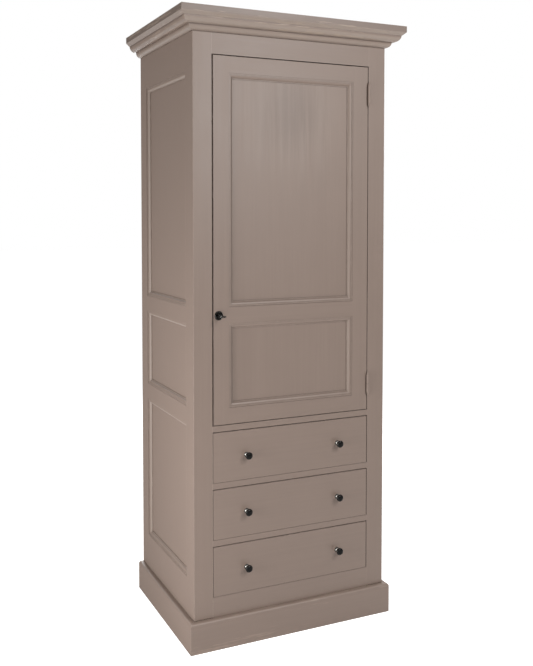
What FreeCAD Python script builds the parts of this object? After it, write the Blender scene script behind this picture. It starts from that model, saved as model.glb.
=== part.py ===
"""Bonnetiere cabinet: a tall, narrow painted cupboard with one panelled door over three drawers.

Frame: X to the right, Y to the back, Z up, millimetres, origin at the bottom centre of the whole.
The carcass is a face frame with two frame-and-panel sides behind it. The cornice, its bed
moulding and the plinth run round the front and both sides and are mitred at the front corners.
"""
import FreeCAD, Part
import math
import os
from types import SimpleNamespace

import Sketcher

doc = FreeCAD.newDocument("bonnetiere_cabinet")

# ---------------------------------------------------------------- driving dimensions

SIZES = {
    # whole
    "overall_height": 2000,
    "carcass_width": 690.5,
    "carcass_depth": 535.7,
    # face frame
    "frame_thickness": 22,
    "front_stile_width": 63.5,
    "bottom_rail_top": 162.5,
    "bottom_rail_foot": 40,
    "drawer_opening_height": 162.8,
    "drawer_rail_height": 19,
    "top_rail_height": 109.1,
    "tenon_length": 25,
    "tenon_thickness": 8,
    "tenon_shoulder": 10,
    "drawer_tenon_height": 11,
    "corner_round": 1.5,
    # sides
    "side_thickness": 22,
    "side_stile_reach": 66.4,
    "side_top_rail_height": 158.5,
    "side_upper_rail_height": 52.8,
    "side_middle_rail_height": 54.3,
    "side_middle_rail_lift": 4.4,
    "side_bottom_rail_top": 217.1,
    "side_rail_foot": 20,
    # panels and the mouldings round them
    "panel_thickness": 8,
    "panel_setback": 11,
    "panel_tongue": 8,
    "groove_depth": 9,
    "moulding_width": 17,
    "moulding_quirk": 1,
    "moulding_flat": 4,
    "moulding_step": 1.4,
    "moulding_lip": 2.4,
    "moulding_lip_height": 2.2,
    "moulding_round": 10,
    # back, top and inside
    "back_thickness": 8,
    "back_rebate": 10,
    "back_tongue": 5,
    "back_tongue_thickness": 2.6,
    "back_rail_height": 60,
    "back_rail_thickness": 18,
    "top_board_thickness": 18,
    "top_board_drop": 7,
    "deck_thickness": 18,
    "deck_upstand": 8,
    "bottom_board_thickness": 12,
    "bottom_board_drop": 22,
    "shelf_thickness": 18,
    "shelf_setback": 14,
    "cleat_width": 15,
    "cleat_height": 25,
    "runner_inset": 14,
    "guide_height": 25,
    "stop_drop": 10,
    "stop_thickness": 12,
    # plinth
    "plinth_height": 97.5,
    "plinth_thickness": 17.6,
    "plinth_round": 8,
    # cornice
    "fascia_height": 20,
    "slope_drop": 10,
    "slope_run": 11.5,
    "crown_quirk": 1.2,
    "crown_ovolo_drop": 20,
    "crown_ovolo_run": 16,
    "crown_round": 21,
    "soffit_run": 9,
    "bed_height": 18,
    "bed_reach": 16.5,
    "bed_fillet": 3,
    "bed_toe": 1.5,
    "bed_round": 16,
    # door
    "door_thickness": 21.5,
    "door_gap_lock": 2.5,
    "door_gap_hinge": 1.6,
    "door_gap_top": 2.5,
    "door_gap_foot": 2,
    "door_lock_stile": 54,
    "door_hinge_stile": 58,
    "door_rail_height": 52.5,
    "door_tenon_length": 18,
    "door_edge_round": 1.2,
    # hinges
    "upper_hinge_drop": 91.4,
    "lower_hinge_lift": 87.1,
    "barrel_radius": 4.75,
    "barrel_half": 40,
    "barrel_taper": 12,
    "barrel_tip": 1.8,
    "barrel_standoff": 0.35,
    "hinge_pin_radius": 2.5,
    "hinge_pin_play": 0.05,
    "hinge_pin_reach": 24,
    "washer_half": 0.5,
    "washer_play": 0.3,
    "leaf_thickness": 1.8,
    "leaf_height": 36,
    "leaf_depth": 25,
    # lock, bolt and key
    "lock_height": 1055.5,
    "lock_backset": 19,
    "lock_case_width": 32,
    "lock_case_height": 56,
    "lock_case_thickness": 12,
    "lock_wall": 1.5,
    "selvedge_thickness": 2.5,
    "selvedge_height": 84,
    "bolt_thickness": 8,
    "bolt_height": 14,
    "bolt_drop": 4,
    "bolt_head_length": 9,
    "bolt_tail_thickness": 3,
    "bolt_tail_height": 10,
    "bolt_tail_end": 2.5,
    "bolt_gate_start": 5.6,
    "bolt_gate_length": 5.6,
    "bolt_play": 0.35,
    "bolt_travel": 8,
    "strike_thickness": 1.5,
    "strike_height": 48,
    "strike_depth": 16,
    "strike_clearance": 2,
    "key_shank_radius": 2.5,
    "key_play": 0.4,
    "key_collar_radius": 4.2,
    "key_collar_length": 3,
    "key_bit_reach": 8,
    "key_bit_thickness": 2.5,
    "key_bit_length": 7,
    "key_bow_radius": 11.5,
    "key_bow_hole": 6.8,
    "key_bow_thickness": 4,
    "key_bow_centre": 31,
    "escutcheon_radius": 14.75,
    "escutcheon_bevel": 2.5,
    "escutcheon_height": 4,
    # drawers
    "drawer_gap_side": 1.5,
    "drawer_gap_top": 2.5,
    "drawer_gap_foot": 0.5,
    "drawer_slide_play": 0.35,
    "drawer_front_thickness": 20,
    "drawer_front_lap": 10,
    "drawer_edge_round": 1.2,
    "drawer_side_thickness": 12,
    "drawer_side_drop": 27.45,
    "drawer_back_clearance": 9.7,
    "drawer_bottom_thickness": 6,
    "drawer_bottom_lift": 10,
    "drawer_bottom_groove": 6,
    "dovetail_flare": 2,
    "dovetail_pin": 7,
    # knobs
    "knob_spacing": 332,
    "knob_radius": 12,
    "knob_length": 26,
    "knob_neck_radius": 5,
    "knob_head_start": 14,
    "knob_bevel_start": 20.5,
    "knob_bevel": 3.5,
}
SHELF_COUNT = 3
DRAWER_COUNT = 3
BACK_BOARD_COUNT = 6
FRONT_TAIL_COUNT = 4
BACK_TAIL_COUNT = 3

sheet = doc.addObject("Spreadsheet::Sheet", "Sizes")
for row, (alias, number) in enumerate(SIZES.items(), start=1):
    sheet.set(f"A{row}", alias)
    sheet.set(f"B{row}", str(number))
    sheet.setAlias(f"B{row}", alias)
doc.recompute()


class Length:
    """A size or place: its formula in the sheet's names, and what it comes to at present."""

    def __init__(self, formula, value):
        self.formula = formula
        self.value = value

    def __add__(self, other):
        return Length(f"({self.formula} + {formula_of(other)})", self.value + value_of(other))

    def __radd__(self, other):
        return Length(f"({formula_of(other)} + {self.formula})", value_of(other) + self.value)

    def __sub__(self, other):
        return Length(f"({self.formula} - {formula_of(other)})", self.value - value_of(other))

    def __rsub__(self, other):
        return Length(f"({formula_of(other)} - {self.formula})", value_of(other) - self.value)

    def __mul__(self, other):
        return Length(f"({self.formula} * {formula_of(other)})", self.value * value_of(other))

    def __rmul__(self, other):
        return self * other

    def __truediv__(self, other):
        return Length(f"({self.formula} / {formula_of(other)})", self.value / value_of(other))

    def __neg__(self):
        return Length(f"(-{self.formula})", -self.value)


def formula_of(size):
    return size.formula if isinstance(size, Length) else f"({size})"


def value_of(size):
    return size.value if isinstance(size, Length) else float(size)


d = SimpleNamespace(**{alias: Length(f"Sizes.{alias}", float(sheet.get(alias))) for alias in SIZES})

# ---------------------------------------------------------------- planes that pieces share

bed_and_soffit = d.bed_reach + d.soffit_run
cornice_reach = bed_and_soffit + d.crown_ovolo_run + d.slope_run
crown_height = d.crown_ovolo_drop + d.slope_drop + d.fascia_height
cornice_foot = d.overall_height - crown_height - d.bed_height

face_y = -(d.carcass_depth - cornice_reach) / 2
back_y = face_y + d.carcass_depth
frame_back_y = face_y + d.frame_thickness
back_panel_y = back_y - d.back_thickness
half_width = d.carcass_width / 2
half_opening = half_width - d.front_stile_width
half_inside = half_width - d.side_thickness

carcass_top = d.overall_height - d.top_board_drop - d.top_board_thickness
drawer_pitch = d.drawer_opening_height + d.drawer_rail_height
drawer_floors = [d.bottom_rail_top + drawer_pitch * step for step in range(DRAWER_COUNT)]
door_opening_foot = d.bottom_rail_top + drawer_pitch * DRAWER_COUNT
door_opening_head = carcass_top - d.top_rail_height
deck_top = door_opening_foot + d.deck_upstand

door_left = -half_opening + d.door_gap_lock
door_right = half_opening - d.door_gap_hinge
door_foot = door_opening_foot + d.door_gap_foot
door_head = door_opening_head - d.door_gap_top
door_back_y = face_y + d.door_thickness
key_x = door_left + d.lock_backset
hinge_x = half_opening - d.door_gap_hinge / 2
hinge_y = face_y - d.barrel_radius - d.barrel_standoff

# ---------------------------------------------------------------- tools of the workshop

EDGE_TOLERANCE = 1e-6


def bind(thing, prop, size):
    """Tie one property to its formula in the sheet."""
    thing.setExpression(prop, formula_of(size))


def put(thing, x, y, z, turn=None):
    """Place a thing, its base bound to the sheet and its turn fixed."""
    if turn is not None:
        thing.Placement = FreeCAD.Placement(FreeCAD.Vector(), turn)
    bind(thing, "Placement.Base.x", x)
    bind(thing, "Placement.Base.y", y)
    bind(thing, "Placement.Base.z", z)
    return thing


def board(name, x, y, z):
    """A squared board, given by its two ends along each axis."""
    box = doc.addObject("Part::Box", name)
    bind(box, "Length", x[1] - x[0])
    bind(box, "Width", y[1] - y[0])
    bind(box, "Height", z[1] - z[0])
    return put(box, x[0], y[0], z[0])


def eased_board(name, x, y, z, round_size, eased):
    """A board with some of its front arrises rounded: eased names their places as (axis, end)."""
    body = doc.addObject("PartDesign::Body", name)
    box = body.newObject("PartDesign::AdditiveBox", name + "_box")
    bind(box, "Length", x[1] - x[0])
    bind(box, "Width", y[1] - y[0])
    bind(box, "Height", z[1] - z[0])
    doc.recompute()
    far = {"x": box.Length.Value, "z": box.Height.Value}

    def lies_at(edge, axis, end):
        bounds = edge.BoundBox
        low, high = (bounds.XMin, bounds.XMax) if axis == "x" else (bounds.ZMin, bounds.ZMax)
        place = far[axis] if end else 0
        return max(abs(low - place), abs(high - place), bounds.YMax) < EDGE_TOLERANCE

    names = [f"Edge{number}" for number, edge in enumerate(box.Shape.Edges, start=1)
             if any(lies_at(edge, *place) for place in eased)]
    fillet = body.newObject("PartDesign::Fillet", name + "_arris")
    fillet.Base = (box, names)
    bind(fillet, "Radius", round_size)
    return put(body, x[0], y[0], z[0])


def rod(name, radius, length, x, y, z, turn):
    cylinder = doc.addObject("Part::Cylinder", name)
    bind(cylinder, "Radius", radius)
    bind(cylinder, "Height", length)
    return put(cylinder, x, y, z, turn)


def cut(name, base, tools):
    """The base piece with every tool taken out of it."""
    waste = tools[0]
    if len(tools) > 1:
        waste = doc.addObject("Part::MultiFuse", name + "_waste")
        waste.Shapes = tools
    result = doc.addObject("Part::Cut", name + "_cut")
    result.Base = base
    result.Tool = waste
    return result


def joined(name, shapes):
    result = doc.addObject("Part::MultiFuse", name + "_joined")
    result.Shapes = shapes
    result.Refine = True
    return result


pieces = []


def piece(name, thing):
    """Name a finished sub-part, which gets a file of its own."""
    thing.Label = name
    pieces.append(thing)
    return thing


def group(name, things):
    """Several like solids that share one name."""
    compound = doc.addObject("Part::Compound", name + "_group")
    compound.Links = things
    return piece(name, compound)


def turned_to(along, across):
    """The rotation that lays local X along one direction and local Y across another."""
    first = FreeCAD.Vector(*along)
    second = FreeCAD.Vector(*across)
    return FreeCAD.Rotation(first, second, first.cross(second), "XYZ")


# ---------------------------------------------------------------- sketches and bodies


def new_body(name):
    return doc.addObject("PartDesign::Body", name)


def sketch_in(body, name, plane, lift=0):
    """A sketch on one of the body's own planes, lifted along that plane's normal."""
    sketch = body.newObject("Sketcher::SketchObject", name)
    origin_planes = {feature.Role: feature for feature in body.Origin.OriginFeatures}
    sketch.AttachmentSupport = (origin_planes[plane], [""])
    sketch.MapMode = "FlatFace"
    bind(sketch, "AttachmentOffset.Base.z", lift)
    return sketch


def constrain(sketch, size, kind, *places):
    """Add one constraint whose value is bound to the sheet."""
    number = sketch.addConstraint(Sketcher.Constraint(kind, *places, value_of(size)))
    sketch.setExpression(f"Constraints[{number}]", formula_of(size))


def arc_between(start, end, radius):
    """An arc of the given radius; a positive one turns left on its way from start to end."""
    chord = end - start
    rise = math.sqrt(max(radius * radius - chord.Length * chord.Length / 4, 0))
    side = FreeCAD.Vector(-chord.y, chord.x, 0).normalize() * math.copysign(rise, radius)
    centre = (start + end) / 2 + side
    first, last = (start, end) if radius > 0 else (end, start)
    angles = [math.atan2(point.y - centre.y, point.x - centre.x) for point in (first, last)]
    circle = Part.Circle(centre, FreeCAD.Vector(0, 0, 1), abs(radius))
    return Part.ArcOfCircle(circle, angles[0], angles[1])


def outline(sketch, corners):
    """A closed outline. A corner is (x, y), or (x, y, radius) where an arc leads to it."""
    count = len(corners)
    ends = []
    for number in range(count):
        here = corners[number]
        target = corners[(number + 1) % count]
        start = FreeCAD.Vector(value_of(here[0]), value_of(here[1]), 0)
        end = FreeCAD.Vector(value_of(target[0]), value_of(target[1]), 0)
        if len(target) == 3:
            radius = value_of(target[2])
            edge = sketch.addGeometry(arc_between(start, end, radius))
            ends.append((edge, (1, 2) if radius > 0 else (2, 1)))
        else:
            edge = sketch.addGeometry(Part.LineSegment(start, end))
            ends.append((edge, (1, 2)))
    for number in range(count):
        edge, (start_point, end_point) = ends[number]
        following, (next_start, _) = ends[(number + 1) % count]
        sketch.addConstraint(Sketcher.Constraint("Coincident", edge, end_point, following, next_start))
        constrain(sketch, corners[number][0], "DistanceX", -1, 1, edge, start_point)
        constrain(sketch, corners[number][1], "DistanceY", -1, 1, edge, start_point)
        target = corners[(number + 1) % count]
        if len(target) == 3:
            size = target[2] if value_of(target[2]) > 0 else -target[2]
            constrain(sketch, size, "Radius", edge)
    return sketch


def ring(sketch, radius, x=0, y=0):
    centre = FreeCAD.Vector(value_of(x), value_of(y), 0)
    circle = sketch.addGeometry(Part.Circle(centre, FreeCAD.Vector(0, 0, 1), value_of(radius)))
    constrain(sketch, x, "DistanceX", -1, 1, circle, 3)
    constrain(sketch, y, "DistanceY", -1, 1, circle, 3)
    constrain(sketch, radius, "Radius", circle)


def pad(body, sketch, length, both_ways=False):
    """Raise a sketch along its normal, or half of the length each way."""
    feature = body.newObject("PartDesign::Pad", sketch.Name + "_pad")
    feature.Profile = sketch
    feature.SideType = "Symmetric" if both_ways else "One side"
    bind(feature, "Length", length)
    sketch.Visibility = False
    return feature


def pocket(body, sketch, length):
    """Cut from a sketch in the direction of its normal."""
    feature = body.newObject("PartDesign::Pocket", sketch.Name + "_pocket")
    feature.Profile = sketch
    feature.Reversed = True
    bind(feature, "Length", length)
    return feature


def turning(body, sketch):
    """Turn a sketch once round its own vertical axis."""
    feature = body.newObject("PartDesign::Revolution", sketch.Name + "_turned")
    feature.Profile = sketch
    feature.ReferenceAxis = (sketch, ["V_Axis"])
    feature.Angle = 360
    return feature


SAW_RUN = 2


def mitre(body, name, run, width, height, kind, at_far_end):
    """Saw one end at 45 degrees: an inner mitre shortens the outer edge, an outer one lengthens it."""
    lean = 1 if kind == "inner" else -1
    tip = width + SAW_RUN

    def at(x):
        return run - x if at_far_end else x

    waste = [(at(-SAW_RUN * lean), -SAW_RUN), (at(tip * lean), tip)]
    if kind == "inner":
        waste.append((at(-SAW_RUN), tip))
    else:
        waste.append((at(-tip), -SAW_RUN))
    sketch = outline(sketch_in(body, name, "XY_Plane", -SAW_RUN), waste)
    pocket(body, sketch, height + 2 * SAW_RUN)


def stick(name, profile, width, height, run, ends, corner, along, across):
    """A moulded stick. Local X runs along it, Y across it from the edge that it is fixed by, Z up.

    ends says how its start and its far end are sawn: square, inner or outer.
    """
    body = new_body(name)
    start_extra = width if ends[0] == "outer" else 0
    far_extra = width if ends[1] == "outer" else 0
    section = outline(sketch_in(body, name + "_section", "YZ_Plane", 0 - start_extra), profile)
    pad(body, section, run + start_extra + far_extra)
    if ends[0] != "square":
        mitre(body, name + "_start", run, width, height, ends[0], False)
    if ends[1] != "square":
        mitre(body, name + "_end", run, width, height, ends[1], True)
    return put(body, *corner, turned_to(along, across))


# ---------------------------------------------------------------- face frame


def leaf_bed(name, z_low, x):
    """The shallow bed for one hinge leaf in an edge of the door or of its opening."""
    return board(name, x, (face_y, hinge_y + d.leaf_depth), (z_low, z_low + d.leaf_height))


def front_stile(side, extra_waste):
    """A full-height front stile with a mortise for each rail of the face frame."""
    name = f"front_{'left' if side < 0 else 'right'}_stile"
    edges = sorted([half_width * side, half_opening * side], key=value_of)
    blank = eased_board(name + "_blank", edges, (face_y, frame_back_y), (0, carcass_top),
                        d.corner_round, [("x", side > 0)])
    deep = sorted([half_opening * side, (half_opening + d.tenon_length) * side], key=value_of)
    waste = [board(f"{name}_mortise_{key}", deep, tenon_y, heights)
             for key, heights in frame_tenons.items()]
    return piece(name, cut(name, blank, waste + extra_waste))


tenon_y = (face_y + (d.frame_thickness - d.tenon_thickness) / 2,
           face_y + (d.frame_thickness + d.tenon_thickness) / 2)
drawer_rail_tops = [floor + drawer_pitch for floor in drawer_floors]
drawer_tenon_inset = (d.drawer_rail_height - d.drawer_tenon_height) / 2
frame_tenons = {
    "top": (door_opening_head + d.tenon_shoulder, carcass_top - d.tenon_shoulder),
    "bottom": (d.bottom_rail_foot + d.tenon_shoulder, d.bottom_rail_top - d.tenon_shoulder),
}
for number, rail_top in enumerate(drawer_rail_tops, start=1):
    frame_tenons[f"drawer_{number}"] = (rail_top - d.drawer_rail_height + drawer_tenon_inset,
                                        rail_top - drawer_tenon_inset)


def front_rail(name, z, tenon_z):
    """A rail between the front stiles, with a tenon at each end."""
    body = board(name + "_blank", (-half_opening, half_opening), (face_y, frame_back_y), z)
    reach = half_opening + d.tenon_length
    tenon = board(name + "_tenon", (-reach, reach), tenon_y, tenon_z)
    return joined(name, [body, tenon])


hinge_heights = {"upper": door_head - d.upper_hinge_drop, "lower": door_foot + d.lower_hinge_lift}
frame_leaf_x = (hinge_x, hinge_x + d.leaf_thickness)
door_leaf_x = (hinge_x - d.leaf_thickness, hinge_x)
frame_leaf_beds = [leaf_bed(f"frame_leaf_bed_{key}", middle - d.washer_half - d.leaf_height, frame_leaf_x)
                   for key, middle in hinge_heights.items()]

bolt_top = d.lock_height - d.bolt_drop
bolt_z = (bolt_top - d.bolt_height, bolt_top)
bolt_middle = bolt_top - d.bolt_height / 2
case_front_y = face_y + (d.door_thickness - d.lock_case_thickness) / 2
case_back_y = case_front_y + d.lock_case_thickness
bolt_back_y = case_back_y - d.lock_wall - d.bolt_play
bolt_y = (bolt_back_y - d.bolt_thickness, bolt_back_y)
strike_y = (case_front_y - (d.strike_depth - d.lock_case_thickness) / 2,
            case_back_y + (d.strike_depth - d.lock_case_thickness) / 2)
strike_z = (bolt_middle - d.strike_height / 2, bolt_middle + d.strike_height / 2)
strike_x = (-half_opening - d.strike_thickness, -half_opening)
bolt_way_y = (bolt_y[0] - d.bolt_play, bolt_y[1] + d.bolt_play)
bolt_way_z = (bolt_z[0] - d.bolt_play, bolt_z[1] + d.bolt_play)
strike_bed = board("strike_bed", strike_x, strike_y, strike_z)
bolt_mortise = board("bolt_mortise", (-half_opening - d.bolt_travel - d.strike_clearance, -half_opening),
                     bolt_way_y, bolt_way_z)

front_stile(-1, [strike_bed, bolt_mortise])
front_stile(1, frame_leaf_beds)
piece("front_top_rail", front_rail("front_top_rail", (door_opening_head, carcass_top), frame_tenons["top"]))
piece("front_bottom_rail",
      front_rail("front_bottom_rail", (d.bottom_rail_foot, d.bottom_rail_top), frame_tenons["bottom"]))
group("drawer_rails", [front_rail(f"drawer_rail_{number}", (rail_top - d.drawer_rail_height, rail_top),
                                  frame_tenons[f"drawer_{number}"])
                       for number, rail_top in enumerate(drawer_rail_tops, start=1)])

# ---------------------------------------------------------------- mouldings round the panels

moulding_height = d.panel_setback - d.moulding_quirk
panel_moulding = [
    (0, 0),
    (d.moulding_width, 0),
    (d.moulding_width, d.moulding_lip_height),
    (d.moulding_width - d.moulding_lip, d.moulding_lip_height),
    (d.moulding_flat, moulding_height - d.moulding_step, d.moulding_round),
    (d.moulding_flat, moulding_height),
    (0, moulding_height),
]


def panel_frame(name, corner_at, face_right, outward, wide, tall):
    """Four mitred sticks that hold a panel in its frame.

    corner_at(right, up) gives a corner of the opening on the panel's face; face_right is the
    direction to the right for someone who looks at that face, and outward points at them.
    """
    up = FreeCAD.Vector(0, 0, 1)
    right = FreeCAD.Vector(*face_right)
    quarter = [(right, up), (up, -right), (-right, -up), (-up, right)]
    corners = [(0, 0), (1, 0), (1, 1), (0, 1)]
    sticks = []
    for number, ((along, across), corner) in enumerate(zip(quarter, corners), start=1):
        run = wide if number % 2 else tall
        sticks.append(stick(f"{name}_stick_{number}", panel_moulding, d.moulding_width, moulding_height,
                            run, ("inner", "inner"), corner_at(*corner), along, across))
    return sticks


# ---------------------------------------------------------------- frame-and-panel sides

side_front_y = frame_back_y
side_stile_front = (side_front_y, face_y + d.side_stile_reach)
side_stile_rear = (back_y - d.side_stile_reach, back_y)
side_panel_y = (side_stile_front[1], side_stile_rear[0])
side_middle_rail_foot = door_opening_foot + d.side_middle_rail_lift
side_rails_z = {
    "top": (carcass_top - d.side_top_rail_height, carcass_top),
    "upper": (d.lock_height - d.side_upper_rail_height / 2, d.lock_height + d.side_upper_rail_height / 2),
    "middle": (side_middle_rail_foot, side_middle_rail_foot + d.side_middle_rail_height),
    "bottom": (d.side_rail_foot, d.side_bottom_rail_top),
}
side_panels_z = {
    "upper": (side_rails_z["upper"][1], side_rails_z["top"][0]),
    "middle": (side_rails_z["middle"][1], side_rails_z["upper"][0]),
    "lower": (side_rails_z["bottom"][1], side_rails_z["middle"][0]),
}


def side(word, sign):
    """One side: two stiles, four rails tenoned into them, three grooved-in panels, mitred mouldings."""

    def across(low, high):
        return tuple(sorted([(half_width - low) * sign, (half_width - high) * sign], key=value_of))

    whole_x = across(0, d.side_thickness)
    panel_x = across(d.panel_setback, d.panel_setback + d.panel_thickness)
    name = f"{word}_side"
    groove_z = (side_rails_z["bottom"][1] - d.groove_depth, side_rails_z["top"][0] + d.groove_depth)

    def stile(part_name, y, inner_edge, step, extra):
        blank = board(part_name + "_blank", whole_x, y, (0, carcass_top))

        def into(depth):
            return tuple(sorted([inner_edge, inner_edge - depth * step], key=value_of))

        waste = [board(part_name + "_groove", panel_x, into(d.groove_depth), groove_z)]
        for key, (low, high) in side_rails_z.items():
            waste.append(board(f"{part_name}_mortise_{key}", panel_x, into(d.tenon_length),
                               (low + d.groove_depth, high - d.groove_depth)))
        piece(part_name, cut(part_name, blank, waste + extra))

    rebate_x = tuple(sorted([half_inside * sign, (half_inside + d.back_rebate) * sign], key=value_of))
    rebate = board(name + "_back_rebate", rebate_x, (back_panel_y, back_y), (d.side_rail_foot, carcass_top))
    stile(name + "_front_stile", side_stile_front, side_panel_y[0], 1, [])
    stile(name + "_rear_stile", side_stile_rear, side_panel_y[1], -1, [rebate])

    rails = []
    for key, (low, high) in side_rails_z.items():
        rail_name = f"{name}_{key}_rail"
        blank = board(rail_name + "_blank", whole_x, side_panel_y, (low, high))
        tenon = board(rail_name + "_tenon", panel_x,
                      (side_panel_y[0] - d.tenon_length, side_panel_y[1] + d.tenon_length),
                      (low + d.groove_depth, high - d.groove_depth))
        grooves = []
        if key != "bottom":
            grooves.append(board(rail_name + "_lower_groove", panel_x, side_panel_y,
                                 (low, low + d.groove_depth)))
        if key != "top":
            grooves.append(board(rail_name + "_upper_groove", panel_x, side_panel_y,
                                 (high - d.groove_depth, high)))
        rails.append(cut(rail_name, joined(rail_name, [blank, tenon]), grooves))
    group(name + "_rails", rails)

    panels = [board(f"{name}_{key}_panel", panel_x,
                    (side_panel_y[0] - d.panel_tongue, side_panel_y[1] + d.panel_tongue),
                    (low - d.panel_tongue, high + d.panel_tongue))
              for key, (low, high) in side_panels_z.items()]
    group(name + "_panels", panels)

    # a viewer of the left side has the front on the right hand, and of the right side the back
    ends_y = side_panel_y if sign > 0 else (side_panel_y[1], side_panel_y[0])
    face_x = (half_width - d.panel_setback) * sign
    sticks = []
    for key, low_high in side_panels_z.items():
        def corner_at(right, up, z=low_high):
            return (face_x, ends_y[right], z[up])

        sticks += panel_frame(f"{name}_{key}", corner_at, (0, sign, 0), (sign, 0, 0),
                              side_panel_y[1] - side_panel_y[0], low_high[1] - low_high[0])
    group(name + "_mouldings", sticks)


side("left", -1)
side("right", 1)

# ---------------------------------------------------------------- back, top, bottom and shelves

back_half = half_inside + d.back_rebate
board_pitch = 2 * back_half / BACK_BOARD_COUNT
tongue_start = back_panel_y + (d.back_thickness - d.back_tongue_thickness) / 2
tongue_y = (tongue_start, tongue_start + d.back_tongue_thickness)
back_z = (d.side_rail_foot, carcass_top)
back_boards = []
for number in range(BACK_BOARD_COUNT):
    name = f"back_board_{number + 1}"
    low = -back_half + board_pitch * number
    high = low + board_pitch
    plank = board(name + "_blank", (low, high), (back_panel_y, back_y), back_z)
    if number < BACK_BOARD_COUNT - 1:
        plank = joined(name, [plank, board(name + "_tongue", (high, high + d.back_tongue), tongue_y, back_z)])
    if number > 0:
        plank = cut(name, plank, [board(name + "_groove", (low, low + d.back_tongue), tongue_y, back_z)])
    back_boards.append(plank)
group("back_boards", back_boards)

back_rail_y = (back_panel_y - d.back_rail_thickness, back_panel_y)
group("back_rails", [
    board("back_top_rail", (-half_inside, half_inside), back_rail_y,
          (carcass_top - d.back_rail_height, carcass_top)),
    board("back_bottom_rail", (-half_inside, half_inside), back_rail_y,
          (d.side_rail_foot, d.side_rail_foot + d.back_rail_height)),
])
piece("top_board", board("top_board_blank", (-half_width, half_width), (face_y, back_y),
                         (carcass_top, carcass_top + d.top_board_thickness)))

inside_x = (-half_inside, half_inside)
inside_y = (frame_back_y, back_panel_y)
deck_z = (deck_top - d.deck_thickness, deck_top)
piece("deck_board", board("deck_board_blank", inside_x, inside_y, deck_z))
bottom_board_top = d.bottom_rail_top - d.drawer_rail_height - d.bottom_board_drop
bottom_board_z = (bottom_board_top - d.bottom_board_thickness, bottom_board_top)
piece("bottom_board", board("bottom_board_blank", inside_x, inside_y, bottom_board_z))

shelf_pitch = (carcass_top - deck_top) / (SHELF_COUNT + 1)
shelf_y = (frame_back_y + d.shelf_setback, back_panel_y)
shelf_tops = [deck_top + shelf_pitch * step for step in range(1, SHELF_COUNT + 1)]
group("shelves", [board(f"shelf_{number}", inside_x, shelf_y, (shelf_top - d.shelf_thickness, shelf_top))
                  for number, shelf_top in enumerate(shelf_tops, start=1)])

held_undersides = [bottom_board_z[0], deck_z[0]] + [top - d.shelf_thickness for top in shelf_tops]
cleat_y = (shelf_y[0], back_panel_y - d.back_rail_thickness)
cleat_x = {"left": (-half_inside, -half_inside + d.cleat_width),
           "right": (half_inside - d.cleat_width, half_inside)}
group("shelf_cleats", [board(f"cleat_{word}_{number}", x, cleat_y, (underside - d.cleat_height, underside))
                       for number, underside in enumerate(held_undersides, start=1)
                       for word, x in cleat_x.items()])

# behind the face frame each side of each drawer runs on a runner, with a guide glued on top of it
runners = []
guides = []
runner_y = (frame_back_y, cleat_y[1])
for number, floor in enumerate(drawer_floors, start=1):
    for word, sign in (("left", -1), ("right", 1)):
        run_x = tuple(sorted([half_inside * sign, (half_opening - d.runner_inset) * sign], key=value_of))
        guide_x = tuple(sorted([half_inside * sign, half_opening * sign], key=value_of))
        runners.append(board(f"runner_{word}_{number}", run_x, runner_y,
                             (floor - d.drawer_rail_height, floor)))
        guides.append(board(f"guide_{word}_{number}", guide_x, runner_y,
                            (floor, floor + d.guide_height)))
group("drawer_runners", runners)
group("drawer_guides", guides)

piece("door_stop", board("door_stop_blank", (-half_opening, half_opening),
                         (frame_back_y, frame_back_y + d.stop_thickness),
                         (door_opening_head - d.stop_drop, door_opening_head + d.stop_drop)))

# ---------------------------------------------------------------- plinth, bed moulding and cornice

plinth_section = [
    (0, 0),
    (d.plinth_thickness, 0),
    (d.plinth_thickness, d.plinth_height - d.plinth_round),
    (d.plinth_thickness - d.plinth_round, d.plinth_height, d.plinth_round),
    (0, d.plinth_height),
]
bed_section = [
    (0, 0),
    (d.bed_toe, 0),
    (d.bed_reach, d.bed_height - d.bed_fillet, d.bed_round),
    (d.bed_reach, d.bed_height),
    (0, d.bed_height),
]
slope_foot = (bed_and_soffit + d.crown_ovolo_run, d.crown_ovolo_drop)
crown_section = [
    (0, 0),
    (bed_and_soffit, 0),
    (slope_foot[0] - d.crown_quirk, slope_foot[1] - d.crown_quirk, d.crown_round),
    (slope_foot[0] - d.crown_quirk, slope_foot[1]),
    slope_foot,
    (cornice_reach, slope_foot[1] + d.slope_drop),
    (cornice_reach, crown_height),
    (0, crown_height),
]


def three_sides(name, section, reach, height, foot):
    """A moulding round the front and both sides, mitred at the front corners."""
    front = stick(name + "_front", section, reach, height, d.carcass_width, ("outer", "outer"),
                  (half_width, face_y, foot), (-1, 0, 0), (0, -1, 0))
    left = stick(name + "_left", section, reach, height, d.carcass_depth, ("outer", "square"),
                 (-half_width, face_y, foot), (0, 1, 0), (-1, 0, 0))
    right = stick(name + "_right", section, reach, height, d.carcass_depth, ("square", "outer"),
                  (half_width, back_y, foot), (0, -1, 0), (1, 0, 0))
    return front, left, right


for word, stick_body in zip(("front", "left", "right"),
                            three_sides("plinth", plinth_section, d.plinth_thickness, d.plinth_height, 0)):
    piece("plinth_" + word, stick_body)
for word, stick_body in zip(("front", "left", "right"),
                            three_sides("crown", crown_section, cornice_reach, crown_height,
                                        d.overall_height - crown_height)):
    piece("cornice_" + word, stick_body)
group("bed_mouldings", list(three_sides("bed", bed_section, d.bed_reach, d.bed_height, cornice_foot)))

# ---------------------------------------------------------------- door

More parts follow.
